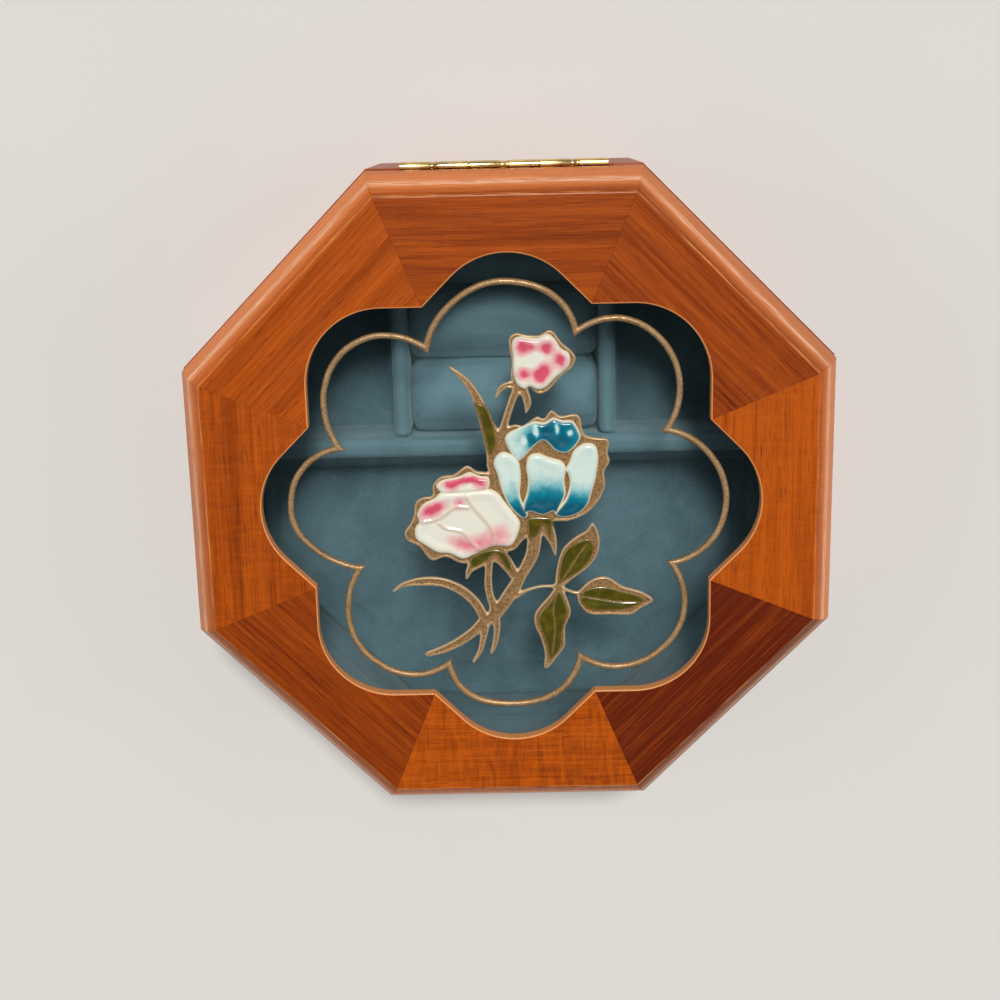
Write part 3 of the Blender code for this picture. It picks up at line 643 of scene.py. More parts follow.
def soft_mesh(node, rounding, voxel, ripple, shrink=0.0):
    """A soft copy of a node: its edges rounded, meshed evenly and made a little uneven."""
    bm = merged_copy(node)
    sharp = [edge for edge in bm.edges if len(edge.link_faces) == 2 and edge.calc_face_angle(0) > 0.5]
    bmesh.ops.bevel(bm, geom=sharp, offset=rounding, segments=3, profile=0.5, affect="EDGES",
                    material=-1, clamp_overlap=True)
    low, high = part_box(node)
    middle = (low + high) / 2
    middle.z = low.z
    for axis in range(3):
        share = 1 - shrink / max(high[axis] - middle[axis], shrink)
        for vert in bm.verts:
            vert.co[axis] = middle[axis] + (vert.co[axis] - middle[axis]) * share
    mesh = with_modifiers(mesh_from(bm, node), ("REMESH", {"mode": "VOXEL", "voxel_size": voxel}))
    bm = bmesh.new()
    bm.from_mesh(mesh)
    bmesh.ops.smooth_vert(bm, verts=bm.verts, factor=0.5, use_axis_x=True, use_axis_y=True, use_axis_z=True)
    bm.normal_update()
    for vert in bm.verts:
        coarse = noise.noise(vert.co / 0.012)
        fine = noise.noise(vert.co / 0.0035)
        vert.co += vert.normal * ripple * (coarse + 0.4 * fine - 0.5)
    soft = bpy.data.meshes.new(node)
    bm.to_mesh(soft)
    bm.free()
    soft.shade_smooth()
    return soft


def keep_inside(mesh, node, margin=0.00003):
    """Hold every point inside the node's box, so that neighbours stay clear."""
    low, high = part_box(node)
    for vert in mesh.vertices:
        for axis in range(3):
            vert.co[axis] = min(max(vert.co[axis], low[axis] + margin), high[axis] - margin)


def plump(mesh, pressure, swell, frames, enlarged=20.0):
    """Let the cover swell over its padding in a cloth simulation, run on an enlarged copy."""
    start = [vert.co.copy() for vert in mesh.vertices]
    mesh.transform(Matrix.Scale(enlarged, 4))
    helper = link(mesh, "swelling")
    cloth = helper.modifiers.new("Cover", "CLOTH")
    cloth.settings.use_pressure = True
    cloth.settings.uniform_pressure_force = pressure
    cloth.settings.effector_weights.gravity = 0.0
    cloth.point_cache.frame_end = frames
    scene = bpy.context.scene
    for number in range(1, frames + 1):
        scene.frame_set(number)
    graph = bpy.context.evaluated_depsgraph_get()
    swollen = [vert.co / enlarged for vert in helper.evaluated_get(graph).data.vertices]
    bpy.data.objects.remove(helper)
    scene.frame_set(1)
    for vert, old, new in zip(mesh.vertices, start, swollen):
        way = new - old
        if way.length > swell:
            way *= swell / way.length
        vert.co = old + way


class BOX_OT_insert(bpy.types.Operator):
    """Cover the floor pad, lining, dividers and ring rolls in velvet"""
    bl_idname = "jewelry_box.insert"
    bl_label = "Velvet insert"

    def execute(self, context):
        settings = context.scene.box_velvet
        velvet = velvet_finish()
        # Each piece's node, rounding, coarseness of its mesh, and fill
        pieces = (("floor_pad", 0.0008, 1.4, 0.5), ("wall_lining", 0.0007, 1.2, 0.4),
                  ("front_divider", 0.0006, 0.9, 0.7), ("left_divider", 0.0006, 0.8, 0.7),
                  ("right_divider", 0.0006, 0.8, 0.7))
        for node, rounding, coarse, fill in pieces:
            mesh = soft_mesh(node, rounding, settings.voxel * coarse, settings.ripple)
            keep_inside(mesh, node)
            finish_piece(f"{node}_velvet", mesh, velvet, "box", node)
        for node in ("ring_roll_front", "ring_roll_middle", "ring_roll_back"):
            mesh = soft_mesh(node, 0.0008, settings.voxel, settings.ripple, shrink=0.0003)
            plump(mesh, settings.pressure, settings.swell, settings.frames)
            keep_inside(mesh, node)
            roll = finish_piece(f"{node}_velvet", mesh, velvet, "box", node)
            smoother = roll.modifiers.new("Smooth cover", "SUBSURF")
            smoother.levels = smoother.render_levels = 1
        return {"FINISHED"}


# Glass

def glass_finish():
    """Clear glass with plain values."""
    material, _, shader = new_finish("clear_glass")
    shader.inputs["Base Color"].default_value = (0.96, 0.98, 0.98, 1.0)
    shader.inputs["Roughness"].default_value = 0.0
    shader.inputs["IOR"].default_value = 1.45
    shader.inputs["Transmission Weight"].default_value = 1.0
    shader.inputs["Alpha"].default_value = bpy.context.scene.box_glass.alpha
    return material


class BOX_OT_glass(bpy.types.Operator):
    """Set the clear pane into the lid"""
    bl_idname = "jewelry_box.glass"
    bl_label = "Glass pane"

    def execute(self, context):
        bm = merged_copy("glass_pane")
        edges = [edge for edge in bm.edges if edge.calc_face_angle(0) > 1.0]
        bmesh.ops.bevel(bm, geom=edges, offset=context.scene.box_glass.edge, segments=2, profile=0.5,
                        affect="EDGES", material=-1)
        mesh = mesh_from(bm, "glass_pane")
        shade(mesh, 12)
        finish_piece("window_glass", mesh, glass_finish(), "lid", "glass_pane")
        return {"FINISHED"}


# Relief on the glass, drawn in millimetres from the lid's middle: x to the right, y to the hinge

BUD_GOLD = (
    (0.3, 38.6), (0.5, 40.8), (2.2, 41.8), (4.2, 41.3), (7.4, 41.1), (9.9, 42.3), (11.4, 41.4),
    (13.0, 39.2), (15.2, 37.3), (16.3, 35.4), (15.4, 33.2), (13.4, 31.6), (11.5, 29.7), (9.4, 27.5),
    (7.0, 26.9), (4.9, 28.6), (2.2, 28.4), (0.6, 30.8), (0.8, 34.8),
)
BLUE_GOLD = (
    (-5.7, 9.4), (-5.2, 12.8), (-3.4, 16.4), (-1.6, 18.4), (1.4, 19.5), (3.4, 19.2), (6.6, 21.3),
    (8.4, 20.8), (10.2, 22.8), (12.4, 21.4), (15.7, 21.8), (17.2, 20.8), (18.0, 17.0), (20.4, 15.9),
    (23.4, 15.6), (24.2, 14.2), (23.8, 12.0), (24.3, 9.8), (23.0, 7.2), (23.2, 4.0), (21.8, 0.4),
    (18.6, -3.1), (14.4, -4.9), (11.2, -5.0), (6.0, -5.4), (3.2, -6.0), (-1.0, -3.6), (-3.6, 1.4),
    (-4.6, 5.2),
)
PINK_GOLD = (
    (-5.3, 7.6), (-8.2, 8.1), (-10.6, 9.5), (-13.8, 7.4), (-17.0, 6.9), (-19.1, 4.8), (-19.3, 2.2),
    (-21.5, 1.8), (-23.5, 0.4), (-24.0, -2.6), (-24.9, -4.8), (-26.4, -7.0), (-25.8, -9.2),
    (-22.9, -10.8), (-21.2, -13.2), (-19.6, -14.5), (-16.4, -13.6), (-13.2, -15.1), (-10.8, -15.2),
    (-5.0, -13.0), (0.2, -12.3), (2.4, -10.1), (3.8, -8.6), (4.2, -5.0), (2.0, -2.4), (-1.4, 1.8),
    (-3.6, 5.6),
)
LEAF_UPPER_GOLD = (
    (10.6, -21.8), (11.1, -16.4), (12.6, -12.0), (15.8, -9.0), (18.4, -7.5), (20.0, -5.5),
    (21.6, -8.8), (21.4, -13.0), (19.2, -16.6), (15.6, -19.4), (12.6, -21.6),
)
LEAF_RIGHT_GOLD = (
    (16.0, -24.2), (17.4, -22.0), (20.2, -19.9), (23.6, -19.6), (27.4, -22.0), (32.0, -23.5),
    (35.0, -25.9), (31.8, -27.9), (29.4, -29.5), (24.0, -29.4), (19.2, -29.2), (16.8, -27.0),
)
LEAF_LOWER_GOLD = (
    (11.0, -21.6), (8.6, -24.6), (5.5, -28.4), (5.3, -31.8), (6.8, -35.6), (7.7, -39.6), (7.4, -42.6),
    (8.4, -43.3), (11.0, -40.1), (12.8, -37.2), (13.0, -32.4), (14.4, -28.6), (13.4, -24.6),
    (12.0, -22.0),
)
SLENDER_GOLD = (
    (-14.3, 33.9), (-12.4, 33.2), (-9.2, 30.4), (-6.6, 26.5), (-4.4, 21.6), (-2.6, 17.6), (-1.6, 13.0),
    (-3.4, 9.0), (-5.5, 9.2), (-5.9, 13.2), (-7.0, 18.6), (-8.6, 25.0), (-10.6, 29.4),
)
# Stems and tendrils: points on the middle line, and the width at each of them
STEMS = (
    (((5.6, -6.0), (5.5, -10.4), (4.7, -14.0), (2.2, -18.6), (-0.4, -23.0), (-3.4, -27.4), (-6.2, -30.6)),
     (3.8, 3.6, 3.3, 2.9, 3.5, 3.3, 3.2)),
    (((-5.5, -13.0), (-5.9, -17.2), (-6.1, -20.8), (-5.7, -24.0), (-4.8, -27.0), (-5.6, -30.0)),
     (2.2, 1.9, 2.0, 2.0, 2.4, 2.6)),
    (((2.6, 29.0), (1.2, 26.4), (-0.4, 22.0), (-1.5, 18.4), (-2.6, 14.0), (-3.2, 9.0)),
     (2.4, 1.9, 1.8, 2.2, 4.2, 5.4)),
    (((-29.8, -22.2), (-27.0, -20.5), (-22.2, -19.8), (-17.4, -20.2), (-12.9, -22.3), (-9.6, -25.4),
      (-7.8, -28.6), (-6.8, -31.6)), (0.6, 1.3, 2.3, 2.4, 2.5, 2.5, 2.5, 2.6)),
    (((-21.9, -39.0), (-17.4, -37.6), (-13.4, -35.6), (-9.8, -33.0), (-6.6, -29.6)),
     (1.4, 2.1, 2.4, 2.6, 3.0)),
    (((-10.3, -41.2), (-8.6, -38.4), (-7.7, -35.0), (-7.1, -31.4)), (0.8, 1.3, 1.7, 2.4)),
    (((-5.7, -38.9), (-4.8, -36.4), (-4.2, -33.0), (-4.4, -29.6)), (0.9, 1.4, 1.7, 2.2)),
    (((0.6, -24.2), (3.6, -22.6), (7.0, -21.7), (10.4, -21.7)), (1.5, 0.9, 0.75, 0.8)),
    (((10.6, -21.6), (13.0, -22.5), (14.8, -23.3), (17.0, -23.7)), (1.7, 0.9, 0.75, 1.1)),
    (((-3.1, 26.2), (-1.9, 28.3), (-0.2, 29.2), (2.4, 28.9)), (0.6, 1.4, 1.6, 2.6)),
    (((4.1, 22.3), (4.5, 24.6), (3.9, 27.0), (2.6, 29.2)), (0.5, 1.9, 2.2, 3.0)),
    (((-11.4, -19.2), (-10.6, -17.0), (-8.6, -15.0), (-5.6, -12.8)), (0.8, 1.9, 3.4, 4.4)),
    (((0.6, -19.0), (-0.6, -16.8), (-2.4, -14.4), (-4.8, -12.4)), (2.4, 3.0, 3.6, 4.0)),
    (((10.7, -13.6), (10.2, -10.4), (9.0, -7.4), (7.2, -4.6)), (0.6, 2.0, 3.4, 4.6)),
    (((4.6, -9.4), (5.0, -7.2), (5.8, -5.0)), (2.0, 2.6, 3.4)),
)
# Enamel pieces: slot, outline, spots of deep colour, veins. A spot is a centre, half sizes, turn and
# strength; a vein is its points and half its width.
ENAMELS = {
    "bud_petals": ("pink_enamel", (
        (0.9, 38.6), (1.4, 40.3), (3.0, 41.0), (6.8, 40.5), (9.4, 41.5), (11.2, 40.4), (12.8, 37.9),
        (14.6, 36.8), (14.9, 34.2), (13.2, 32.2), (11.4, 30.8), (9.0, 28.5), (7.0, 28.0), (5.1, 28.8),
        (3.8, 28.2), (2.0, 29.4), (1.1, 32.4), (1.1, 36.4)), (
        ((3.6, 38.6), (1.6, 2.0), 0.1, 1.15), ((5.9, 38.6), (0.9, 1.4), 0.0, 0.6),
        ((9.2, 38.2), (1.7, 1.6), 0.2, 1.15), ((12.6, 35.2), (1.3, 1.7), 0.1, 1.15),
        ((8.6, 32.8), (2.0, 1.7), 0.6, 1.05), ((7.6, 31.0), (1.3, 1.4), 0.0, 0.9),
        ((3.8, 32.0), (1.7, 1.4), -0.2, 1.0), ((5.8, 35.6), (2.2, 1.1), 0.3, -0.5)), ()),
    "blue_rose_collar": ("blue_enamel", (
        (-1.2, 15.7), (-0.2, 17.6), (3.0, 19.1), (6.0, 20.3), (8.4, 20.0), (10.6, 21.1), (13.0, 20.4),
        (15.2, 20.3), (16.6, 18.4), (17.3, 16.2), (15.8, 13.8), (13.6, 12.3), (11.0, 12.9), (9.4, 14.6),
        (8.0, 15.5), (6.0, 14.2), (4.0, 12.1), (2.1, 10.5), (0.4, 12.2)), (
        ((11.5, 17.0), (8.4, 8.0), 0.0, 0.84), ((5.2, 15.8), (1.3, 1.5), 0.0, 0.4),
        ((8.6, 18.2), (1.0, 1.4), 0.0, 0.35), ((12.6, 15.4), (2.0, 1.2), 0.0, 0.3),
        ((3.6, 15.8), (0.7, 1.0), 0.0, -0.5), ((6.4, 17.9), (0.5, 1.1), 0.2, -0.85),
        ((11.5, 18.4), (0.4, 1.2), 0.0, -0.8), ((14.6, 17.4), (0.6, 0.6), 0.0, -0.9)), ()),
    "blue_rose_heart": ("blue_enamel", (
        (3.8, 9.0), (4.6, 11.7), (6.8, 12.4), (9.6, 11.3), (12.4, 10.4), (13.6, 8.6), (13.2, 5.4),
        (13.4, 2.0), (12.0, -1.2), (11.2, -2.9), (10.2, -2.3), (7.8, -3.2), (4.8, -2.3), (3.0, -2.6),
        (2.9, -0.4), (3.9, 2.6), (4.2, 5.8)), (
        ((8.5, -3.2), (12.0, 7.2), 0.0, 1.12),), ()),
    "blue_rose_left_petal": ("blue_enamel", (
        (-4.1, 9.9), (-3.2, 12.1), (-1.4, 12.9), (0.8, 11.9), (2.2, 10.2), (2.6, 6.2), (2.3, 2.2),
        (3.2, -0.6), (4.2, -2.6), (3.2, -4.0), (1.4, -2.9), (-0.8, -0.1), (-2.4, 3.8), (-3.2, 7.2)), (
        ((2.6, -3.8), (6.0, 5.4), 0.0, 1.1), ((0.2, 4.8), (1.6, 1.8), 0.0, 0.18)), ()),
    "blue_rose_right_petal": ("blue_enamel", (
        (13.5, 8.2), (14.6, 10.6), (15.4, 12.7), (18.0, 14.6), (20.6, 14.2), (21.5, 11.4), (21.0, 6.6),
        (19.8, 2.2), (18.6, -1.1), (16.0, -3.2), (12.6, -3.9), (10.6, -2.9), (11.4, -1.6), (13.4, 1.0),
        (14.4, 4.4), (14.1, 6.9)), (
        ((14.8, -3.8), (9.0, 6.0), 0.0, 1.15), ((19.4, 12.4), (1.8, 1.8), 0.0, 0.2)), ()),
    "pink_rose_heart": ("pink_enamel", (
        (-16.8, 3.2), (-12.0, 3.4), (-6.0, 3.8), (-3.2, 2.7), (-1.5, 0.4), (0.6, -2.4), (2.2, -5.0),
        (1.4, -8.4), (-0.4, -10.9), (-4.3, -10.8), (-7.2, -11.9), (-9.2, -12.9), (-12.2, -14.0),
        (-15.4, -12.6), (-18.4, -12.2), (-21.2, -10.5), (-23.6, -8.6), (-23.8, -6.0), (-22.7, -4.2),
        (-23.2, -2.4), (-21.6, 0.2), (-18.8, 1.6)), (
        ((-20.0, -1.5), (2.7, 1.7), 0.3, 0.95), ((-17.4, 0.0), (2.2, 1.2), 0.2, 0.5),
        ((-12.5, 0.3), (1.3, 1.5), 0.0, 0.75), ((-12.4, -9.8), (3.4, 1.7), -0.35, 0.66),
        ((-7.4, -9.6), (3.0, 2.1), 0.2, 0.60), ((-2.8, -8.0), (2.8, 2.8), 0.2, 0.54)), (
        (((-10.9, 2.0), (-9.9, 0.2), (-7.2, -3.2), (-5.2, -5.8), (-4.1, -8.8), (-4.3, -10.8)), 0.45),
        (((-17.8, -4.6), (-16.0, -5.9), (-12.2, -6.9), (-10.2, -9.2), (-8.2, -11.4)), 0.42),
        (((-22.8, -4.3), (-18.6, -3.7), (-16.2, -2.4), (-13.6, -0.6), (-10.6, -0.8)), 0.45))),
    "pink_rose_top_petal": ("pink_enamel", (
        (-18.3, 4.8), (-16.6, 6.2), (-12.9, 6.9), (-10.0, 8.0), (-7.4, 7.0), (-5.4, 6.7), (-5.1, 4.6),
        (-6.4, 3.2), (-11.0, 2.8), (-15.4, 2.6), (-17.2, 3.1)), (
        ((-10.4, 6.4), (4.4, 1.0), 0.12, 1.0), ((-14.4, 5.2), (1.7, 1.5), 0.0, 0.95),
        ((-7.2, 5.3), (1.6, 1.5), 0.0, 0.75)), ()),
    "blue_rose_sepals": ("green_enamel", (
        (4.3, -3.6), (9.8, -3.8), (10.1, -6.5), (9.9, -9.2), (9.1, -8.8), (7.9, -5.6), (6.8, -7.8),
        (5.4, -9.0), (4.1, -8.7), (3.9, -6.2)), (), ()),
    "pink_rose_sepals": ("green_enamel", (
        (-10.2, -13.6), (-7.4, -12.0), (-4.2, -11.4), (-1.8, -12.2), (-0.4, -14.6), (0.1, -17.5),
        (-1.4, -16.8), (-3.2, -13.9), (-4.4, -12.9), (-6.4, -14.6), (-9.4, -16.2), (-10.5, -15.2)), (), ()),
    "leaf_upper": ("green_enamel", (
        (11.2, -20.6), (11.9, -14.8), (13.6, -11.6), (16.4, -9.9), (18.8, -9.2), (20.4, -10.8),
        (19.8, -14.0), (17.4, -17.2), (13.8, -19.5), (12.1, -20.8)), (), (
        (((11.6, -21.0), (15.0, -15.6), (18.5, -10.6)), 0.24),)),
    "leaf_right": ("green_enamel", (
        (16.7, -24.3), (18.3, -22.2), (22.4, -21.5), (27.6, -22.8), (31.4, -24.1), (32.6, -25.6),
        (30.3, -27.2), (26.0, -28.1), (20.4, -28.0), (17.5, -26.7)), (), (
        (((16.4, -24.0), (20.8, -24.8), (25.3, -25.6), (31.4, -26.0)), 0.24),)),
    "leaf_lower": ("green_enamel", (
        (11.2, -22.4), (9.0, -25.5), (6.3, -28.8), (6.3, -31.4), (7.9, -36.4), (8.6, -39.8),
        (9.6, -40.4), (11.9, -37.4), (12.5, -32.6), (13.7, -28.4), (12.8, -24.6)), (), (
        (((11.2, -22.0), (10.0, -27.4), (10.4, -32.0), (9.6, -39.0)), 0.24),)),
    "leaf_slender": ("green_enamel", (
        (-8.3, 25.2), (-5.7, 24.6), (-4.2, 21.5), (-3.2, 17.8), (-3.2, 14.8), (-4.2, 12.4), (-5.3, 12.6),
        (-6.0, 15.2), (-6.9, 19.4), (-7.7, 22.8)), (), (
        (((-8.0, 25.6), (-6.9, 20.8), (-5.6, 15.0)), 0.3),)),
}


def smooth_line(points, closed, steps):
    """A smooth curve through the points, in metres."""
    knots = [Vector(point) * MM for point in points]
    count = len(knots)
    if closed:
        spans = count
        ring = [knots[-1], *knots, knots[0], knots[1]]
    else:
        spans = count - 1
        ring = [2 * knots[0] - knots[1], *knots, 2 * knots[-1] - knots[-2]]
    line = []
    for span in range(spans):
        a, b, c, d = ring[span:span + 4]
        for step in range(steps):
            share = step / steps
            line.append(0.5 * (2 * b + (c - a) * share + (2 * a - 5 * b + 4 * c - d) * share ** 2
                               + (3 * b - a - 3 * c + d) * share ** 3))
    if not closed:
        line.append(knots[-1])
    return line


def stem_outline(points, widths, steps=6):
    """Outline of a stem whose width changes smoothly along its middle line, with round ends."""
    middle = smooth_line(points, False, steps)
    breadth = smooth_line([(width, 0) for width in widths], False, steps)
    last = len(middle) - 1
    left, right = [], []
    for index, point in enumerate(middle):
        way = (middle[min(index + 1, last)] - middle[max(index - 1, 0)]).normalized()
        across = Vector((-way.y, way.x)) * breadth[index].x / 2
        left.append(point + across)
        right.append(point - across)
    start = middle[0] - (middle[1] - middle[0]).normalized() * breadth[0].x / 2
    return [*left, *reversed(right), start]


def outline_points(mesh, spacing=0.0001):
    """A tree of points along the lower outline of a plate."""
    bm = bmesh.new()
    bm.from_mesh(mesh)
    bmesh.ops.remove_doubles(bm, verts=bm.verts, dist=1e-7)
    base = min(vert.co.z for vert in bm.verts)
    points = []
    for edge in bm.edges:
        ends = [vert.co for vert in edge.verts]
        upright = any(abs(face.normal.z) < 0.5 for face in edge.link_faces)
        if upright and all(abs(end.z - base) < 1e-6 for end in ends):
            count = max(int((ends[1] - ends[0]).length / spacing), 1)
            points += [ends[0].lerp(ends[1], step / count) for step in range(count)]
    bm.free()
    return point_tree(points)


def point_tree(points):
    """A tree that finds the nearest of these points."""
    tree = kdtree.KDTree(len(points))
    for index, point in enumerate(points):
        tree.insert((point[0], point[1], 0), index)
    tree.balance()
    return tree


def relief_mesh(name, plates, voxel, base, rise, marks):
    """Plates joined and meshed evenly, then risen by their distance from the outline.

    rise(place, distance) gives the height over the base; marks(place, distance) gives the values that
    the mesh carries for its finish.
    """
    first, *others = plates
    joined = cut(first, others, "UNION", "MANIFOLD") if others else first
    edge = outline_points(joined)
    mesh = with_modifiers(joined, ("REMESH", {"mode": "VOXEL", "voxel_size": voxel}))
    bm = bmesh.new()
    bm.from_mesh(mesh)
    bmesh.ops.smooth_vert(bm, verts=bm.verts, factor=0.5, use_axis_x=True, use_axis_y=True, use_axis_z=True)
    low = min(vert.co.z for vert in bm.verts)
    high = max(vert.co.z for vert in bm.verts)
    layers = {key: bm.verts.layers.float.new(key) for key in marks(Vector((0, 0, 0)), 0.0)}
    for vert in bm.verts:
        place = Vector((vert.co.x, vert.co.y, 0))
        distance = edge.find(place)[2]
        share = min(max(((vert.co.z - low) / (high - low) - 0.12) / 0.76, 0.0), 1.0)
        vert.co.z = base + rise(place, distance) * share
        for key, value in marks(place, distance).items():
            vert[layers[key]] = value
    made = bpy.data.meshes.new(name)
    bm.to_mesh(made)
    bm.free()
    made.shade_smooth()
    return made


def rounded(distance, width):
    """A quarter-round: 0 on the outline, 1 from the width inwards."""
    share = min(distance / width, 1.0)
    return math.sqrt(1 - (1 - share) ** 2)


def fade(value, start, end):
    """A smooth step from 1 at the start to 0 at the end."""
    share = min(max((value - start) / (end - start), 0.0), 1.0)
    return 1 - share * share * (3 - 2 * share)


def gold_finish():
    """Grainy metallic paste, lighter along the spray's raised rim and, as a painted highlight, along the
    crown of the gold line.
    """
    settings = bpy.context.scene.box_relief
    material, tree, shader = new_finish("gold_paint")
    flakes = add(tree, "ShaderNodeTexVoronoi", {"Vector": object_space(tree, (0.00022, 0.00022, 0.00022)),
                                                "Scale": 1.0}, output=1)
    flakes = add(tree, "ShaderNodeSeparateColor", {0: flakes})
    patches = grain(tree, 0.0009, detail=2)
    glitter = calc(tree, "ADD", calc(tree, "MULTIPLY", flakes, 0.75), calc(tree, "MULTIPLY", patches, 0.5))
    sparkle = between(tree, glitter, 0.25, 1.0)
    colour = blend(tree, sparkle, tinted(settings.gold, 0.5), tinted(settings.gold, 1.75))
    rim = calc(tree, "MULTIPLY", attribute(tree, "rim"), 0.75)
    colour = blend(tree, rim, colour, tuple(settings.gold_light))
    feed(tree, shader.inputs["Base Color"], colour)
    shader.inputs["Metallic"].default_value = 0.35
    feed(tree, shader.inputs["Roughness"], between(tree, flakes, 0.0, 1.0, 0.55, 0.30))
    feed(tree, shader.inputs["Normal"], bump(tree, flakes, 0.45, 0.00010))
    return material


VEIN_COLOUR = (0.62, 0.47, 0.33)
RIM_COLOUR = (0.84, 0.80, 0.62)
OLIVE = (0.105, 0.085, 0.0015)
DULL_GOLD = (0.10, 0.05, 0.008)
WARM_GOLD = (0.42, 0.26, 0.09)


def enamel_shine(shader):
    """A glossy, poured surface."""
    shader.inputs["Roughness"].default_value = 0.30
    shader.inputs["Coat Weight"].default_value = 0.4
    shader.inputs["Coat Roughness"].default_value = 0.08
    shader.inputs["Specular IOR Level"].default_value = 0.3


def petal_finish(name, pale, stops):
    """Poured enamel, pale at first, that goes through the stops with its depth, and cream at its rim."""
    material, tree, shader = new_finish(name)
    cloud = grain(tree, 0.0016, detail=3, warp=0.5)
    depth = attribute(tree, "depth")
    depth = calc(tree, "ADD", depth, calc(tree, "MULTIPLY", calc(tree, "SUBTRACT", cloud, 0.5), 0.22))
    colour = tuple(pale)
    for low, high, tint in stops:
        colour = blend(tree, between(tree, depth, low, high), colour, tuple(tint))
    vein = attribute(tree, "vein")
    colour = blend(tree, calc(tree, "MULTIPLY", vein, 0.7), colour, VEIN_COLOUR)
    colour = blend(tree, attribute(tree, "rim"), colour, RIM_COLOUR)
    feed(tree, shader.inputs["Base Color"], colour)
    enamel_shine(shader)
    feed(tree, shader.inputs["Normal"], bump(tree, cloud, 0.12, 0.0002))
    return material


def leaf_finish():
    """Dark green enamel over gold, which shows at the rim and the midrib."""
    settings = bpy.context.scene.box_relief
    material, tree, shader = new_finish("green_enamel")
    cloud = grain(tree, 0.0024, detail=2, warp=0.4)
    flakes = grain(tree, 0.00022, detail=2)
    colour = blend(tree, between(tree, cloud, 0.42, 0.68), tuple(settings.leaf), OLIVE)
    gold = calc(tree, "MAXIMUM", attribute(tree, "rim"), calc(tree, "MULTIPLY", attribute(tree, "vein"), 0.9))
    warm = blend(tree, between(tree, flakes, 0.36, 0.64), DULL_GOLD, WARM_GOLD)
    colour = blend(tree, gold, colour, warm)
    feed(tree, shader.inputs["Base Color"], colour)
    enamel_shine(shader)
    feed(tree, shader.inputs["Normal"], bump(tree, flakes, 0.15, 0.0001))
    return material


# How far the hand-drawn line strays from the even one, in millimetres, at each 22.5 degrees from +X
LINE_STRAYS = (
    (-1.5, 0.0), (-2.1, 0.7), (-2.0, 1.4), (-0.3, 1.5), (-1.2, -0.2), (-2.9, -1.8), (-1.9, -1.1),
    (-1.3, -2.2), (0.1, -0.8), (2.4, 0.6), (1.5, -0.5), (0.2, -1.4), (0.0, 1.6), (0.0, -0.1),
    (-0.3, 0.6), (-0.7, 0.3),
)


def line_stray(place):
    """How far the hand-drawn line strays at a place."""
    count = len(LINE_STRAYS)
    turn = (math.atan2(place.y, place.x) / (2 * math.pi) * count) % count
    index = int(turn)
    share = turn - index
    share = share * share * (3 - 2 * share)
    start, end = Vector(LINE_STRAYS[index % count]), Vector(LINE_STRAYS[(index + 1) % count])
    return (start.lerp(end, share) * MM).to_3d()


def gold_line(settings):
    """The gold line of eight arcs, each a half-round section spun about its lobe's centre."""
    reach = LINE_HIGH.x - settings.line_width / 2
    cusp = reach - settings.cusp_depth
    centre = (reach ** 2 - cusp ** 2) / 2 / (reach - cusp * math.cos(HALF_TURN))
    radius = reach - centre
    height = LINE_HIGH.z - LINE_LOW.z
    sweep = math.radians(112)
    bm = bmesh.new()
    section = []
    for step in range(9):
        angle = math.pi * step / 8
        section.append((centre + radius + settings.line_width / 2 * math.cos(angle), 0,
                        LINE_LOW.z + height * math.sin(angle)))
    verts = [bm.verts.new(point) for point in section]
    face = bm.faces.new(verts)
    bmesh.ops.rotate(bm, verts=bm.verts, cent=(centre, 0, 0), matrix=Matrix.Rotation(-sweep, 3, "Z"))
    bmesh.ops.spin(bm, geom=[face], cent=(centre, 0, 0), axis=(0, 0, 1), angle=2 * sweep, steps=72)
    for side in (1, -1):
        normal = (-math.sin(HALF_TURN), side * math.cos(HALF_TURN), 0)
        bmesh.ops.bisect_plane(bm, geom=bm.verts[:] + bm.edges[:] + bm.faces[:], plane_co=(0, 0, 0),
                               plane_no=normal, clear_outer=True)
    lobe = bm.verts[:] + bm.edges[:] + bm.faces[:]
    for index in range(1, SIDES):
        copy = bmesh.ops.duplicate(bm, geom=lobe)["geom"]
        verts = [item for item in copy if isinstance(item, bmesh.types.BMVert)]
        turn = Matrix.Rotation(index * SIDE_TURN, 3, "Z")
        bmesh.ops.rotate(bm, verts=verts, cent=(0, 0, 0), matrix=turn)
    bmesh.ops.remove_doubles(bm, verts=bm.verts, dist=0.00002)
    rim = bm.verts.layers.float.new("rim")
    for vert in bm.verts:
        wander = Vector((noise.noise(vert.co / 0.004), noise.noise(vert.co / 0.004 + Vector((9, 9, 9))), 0))
        vert.co += wander * 0.00008 + line_stray(vert.co)
        # The rim value grows towards the top of the line: a painted highlight on its crown.
        share = (vert.co.z - LINE_LOW.z) / height
        vert[rim] = 0.25 * share * (1 + noise.noise(vert.co / 0.003))
        vert.co.z = LINE_LOW.z + height * share * (0.93 + 0.07 * noise.noise(vert.co / 0.0015))
    mesh = mesh_from(bm, "gold_line")
    shade(mesh, 60)
    return mesh


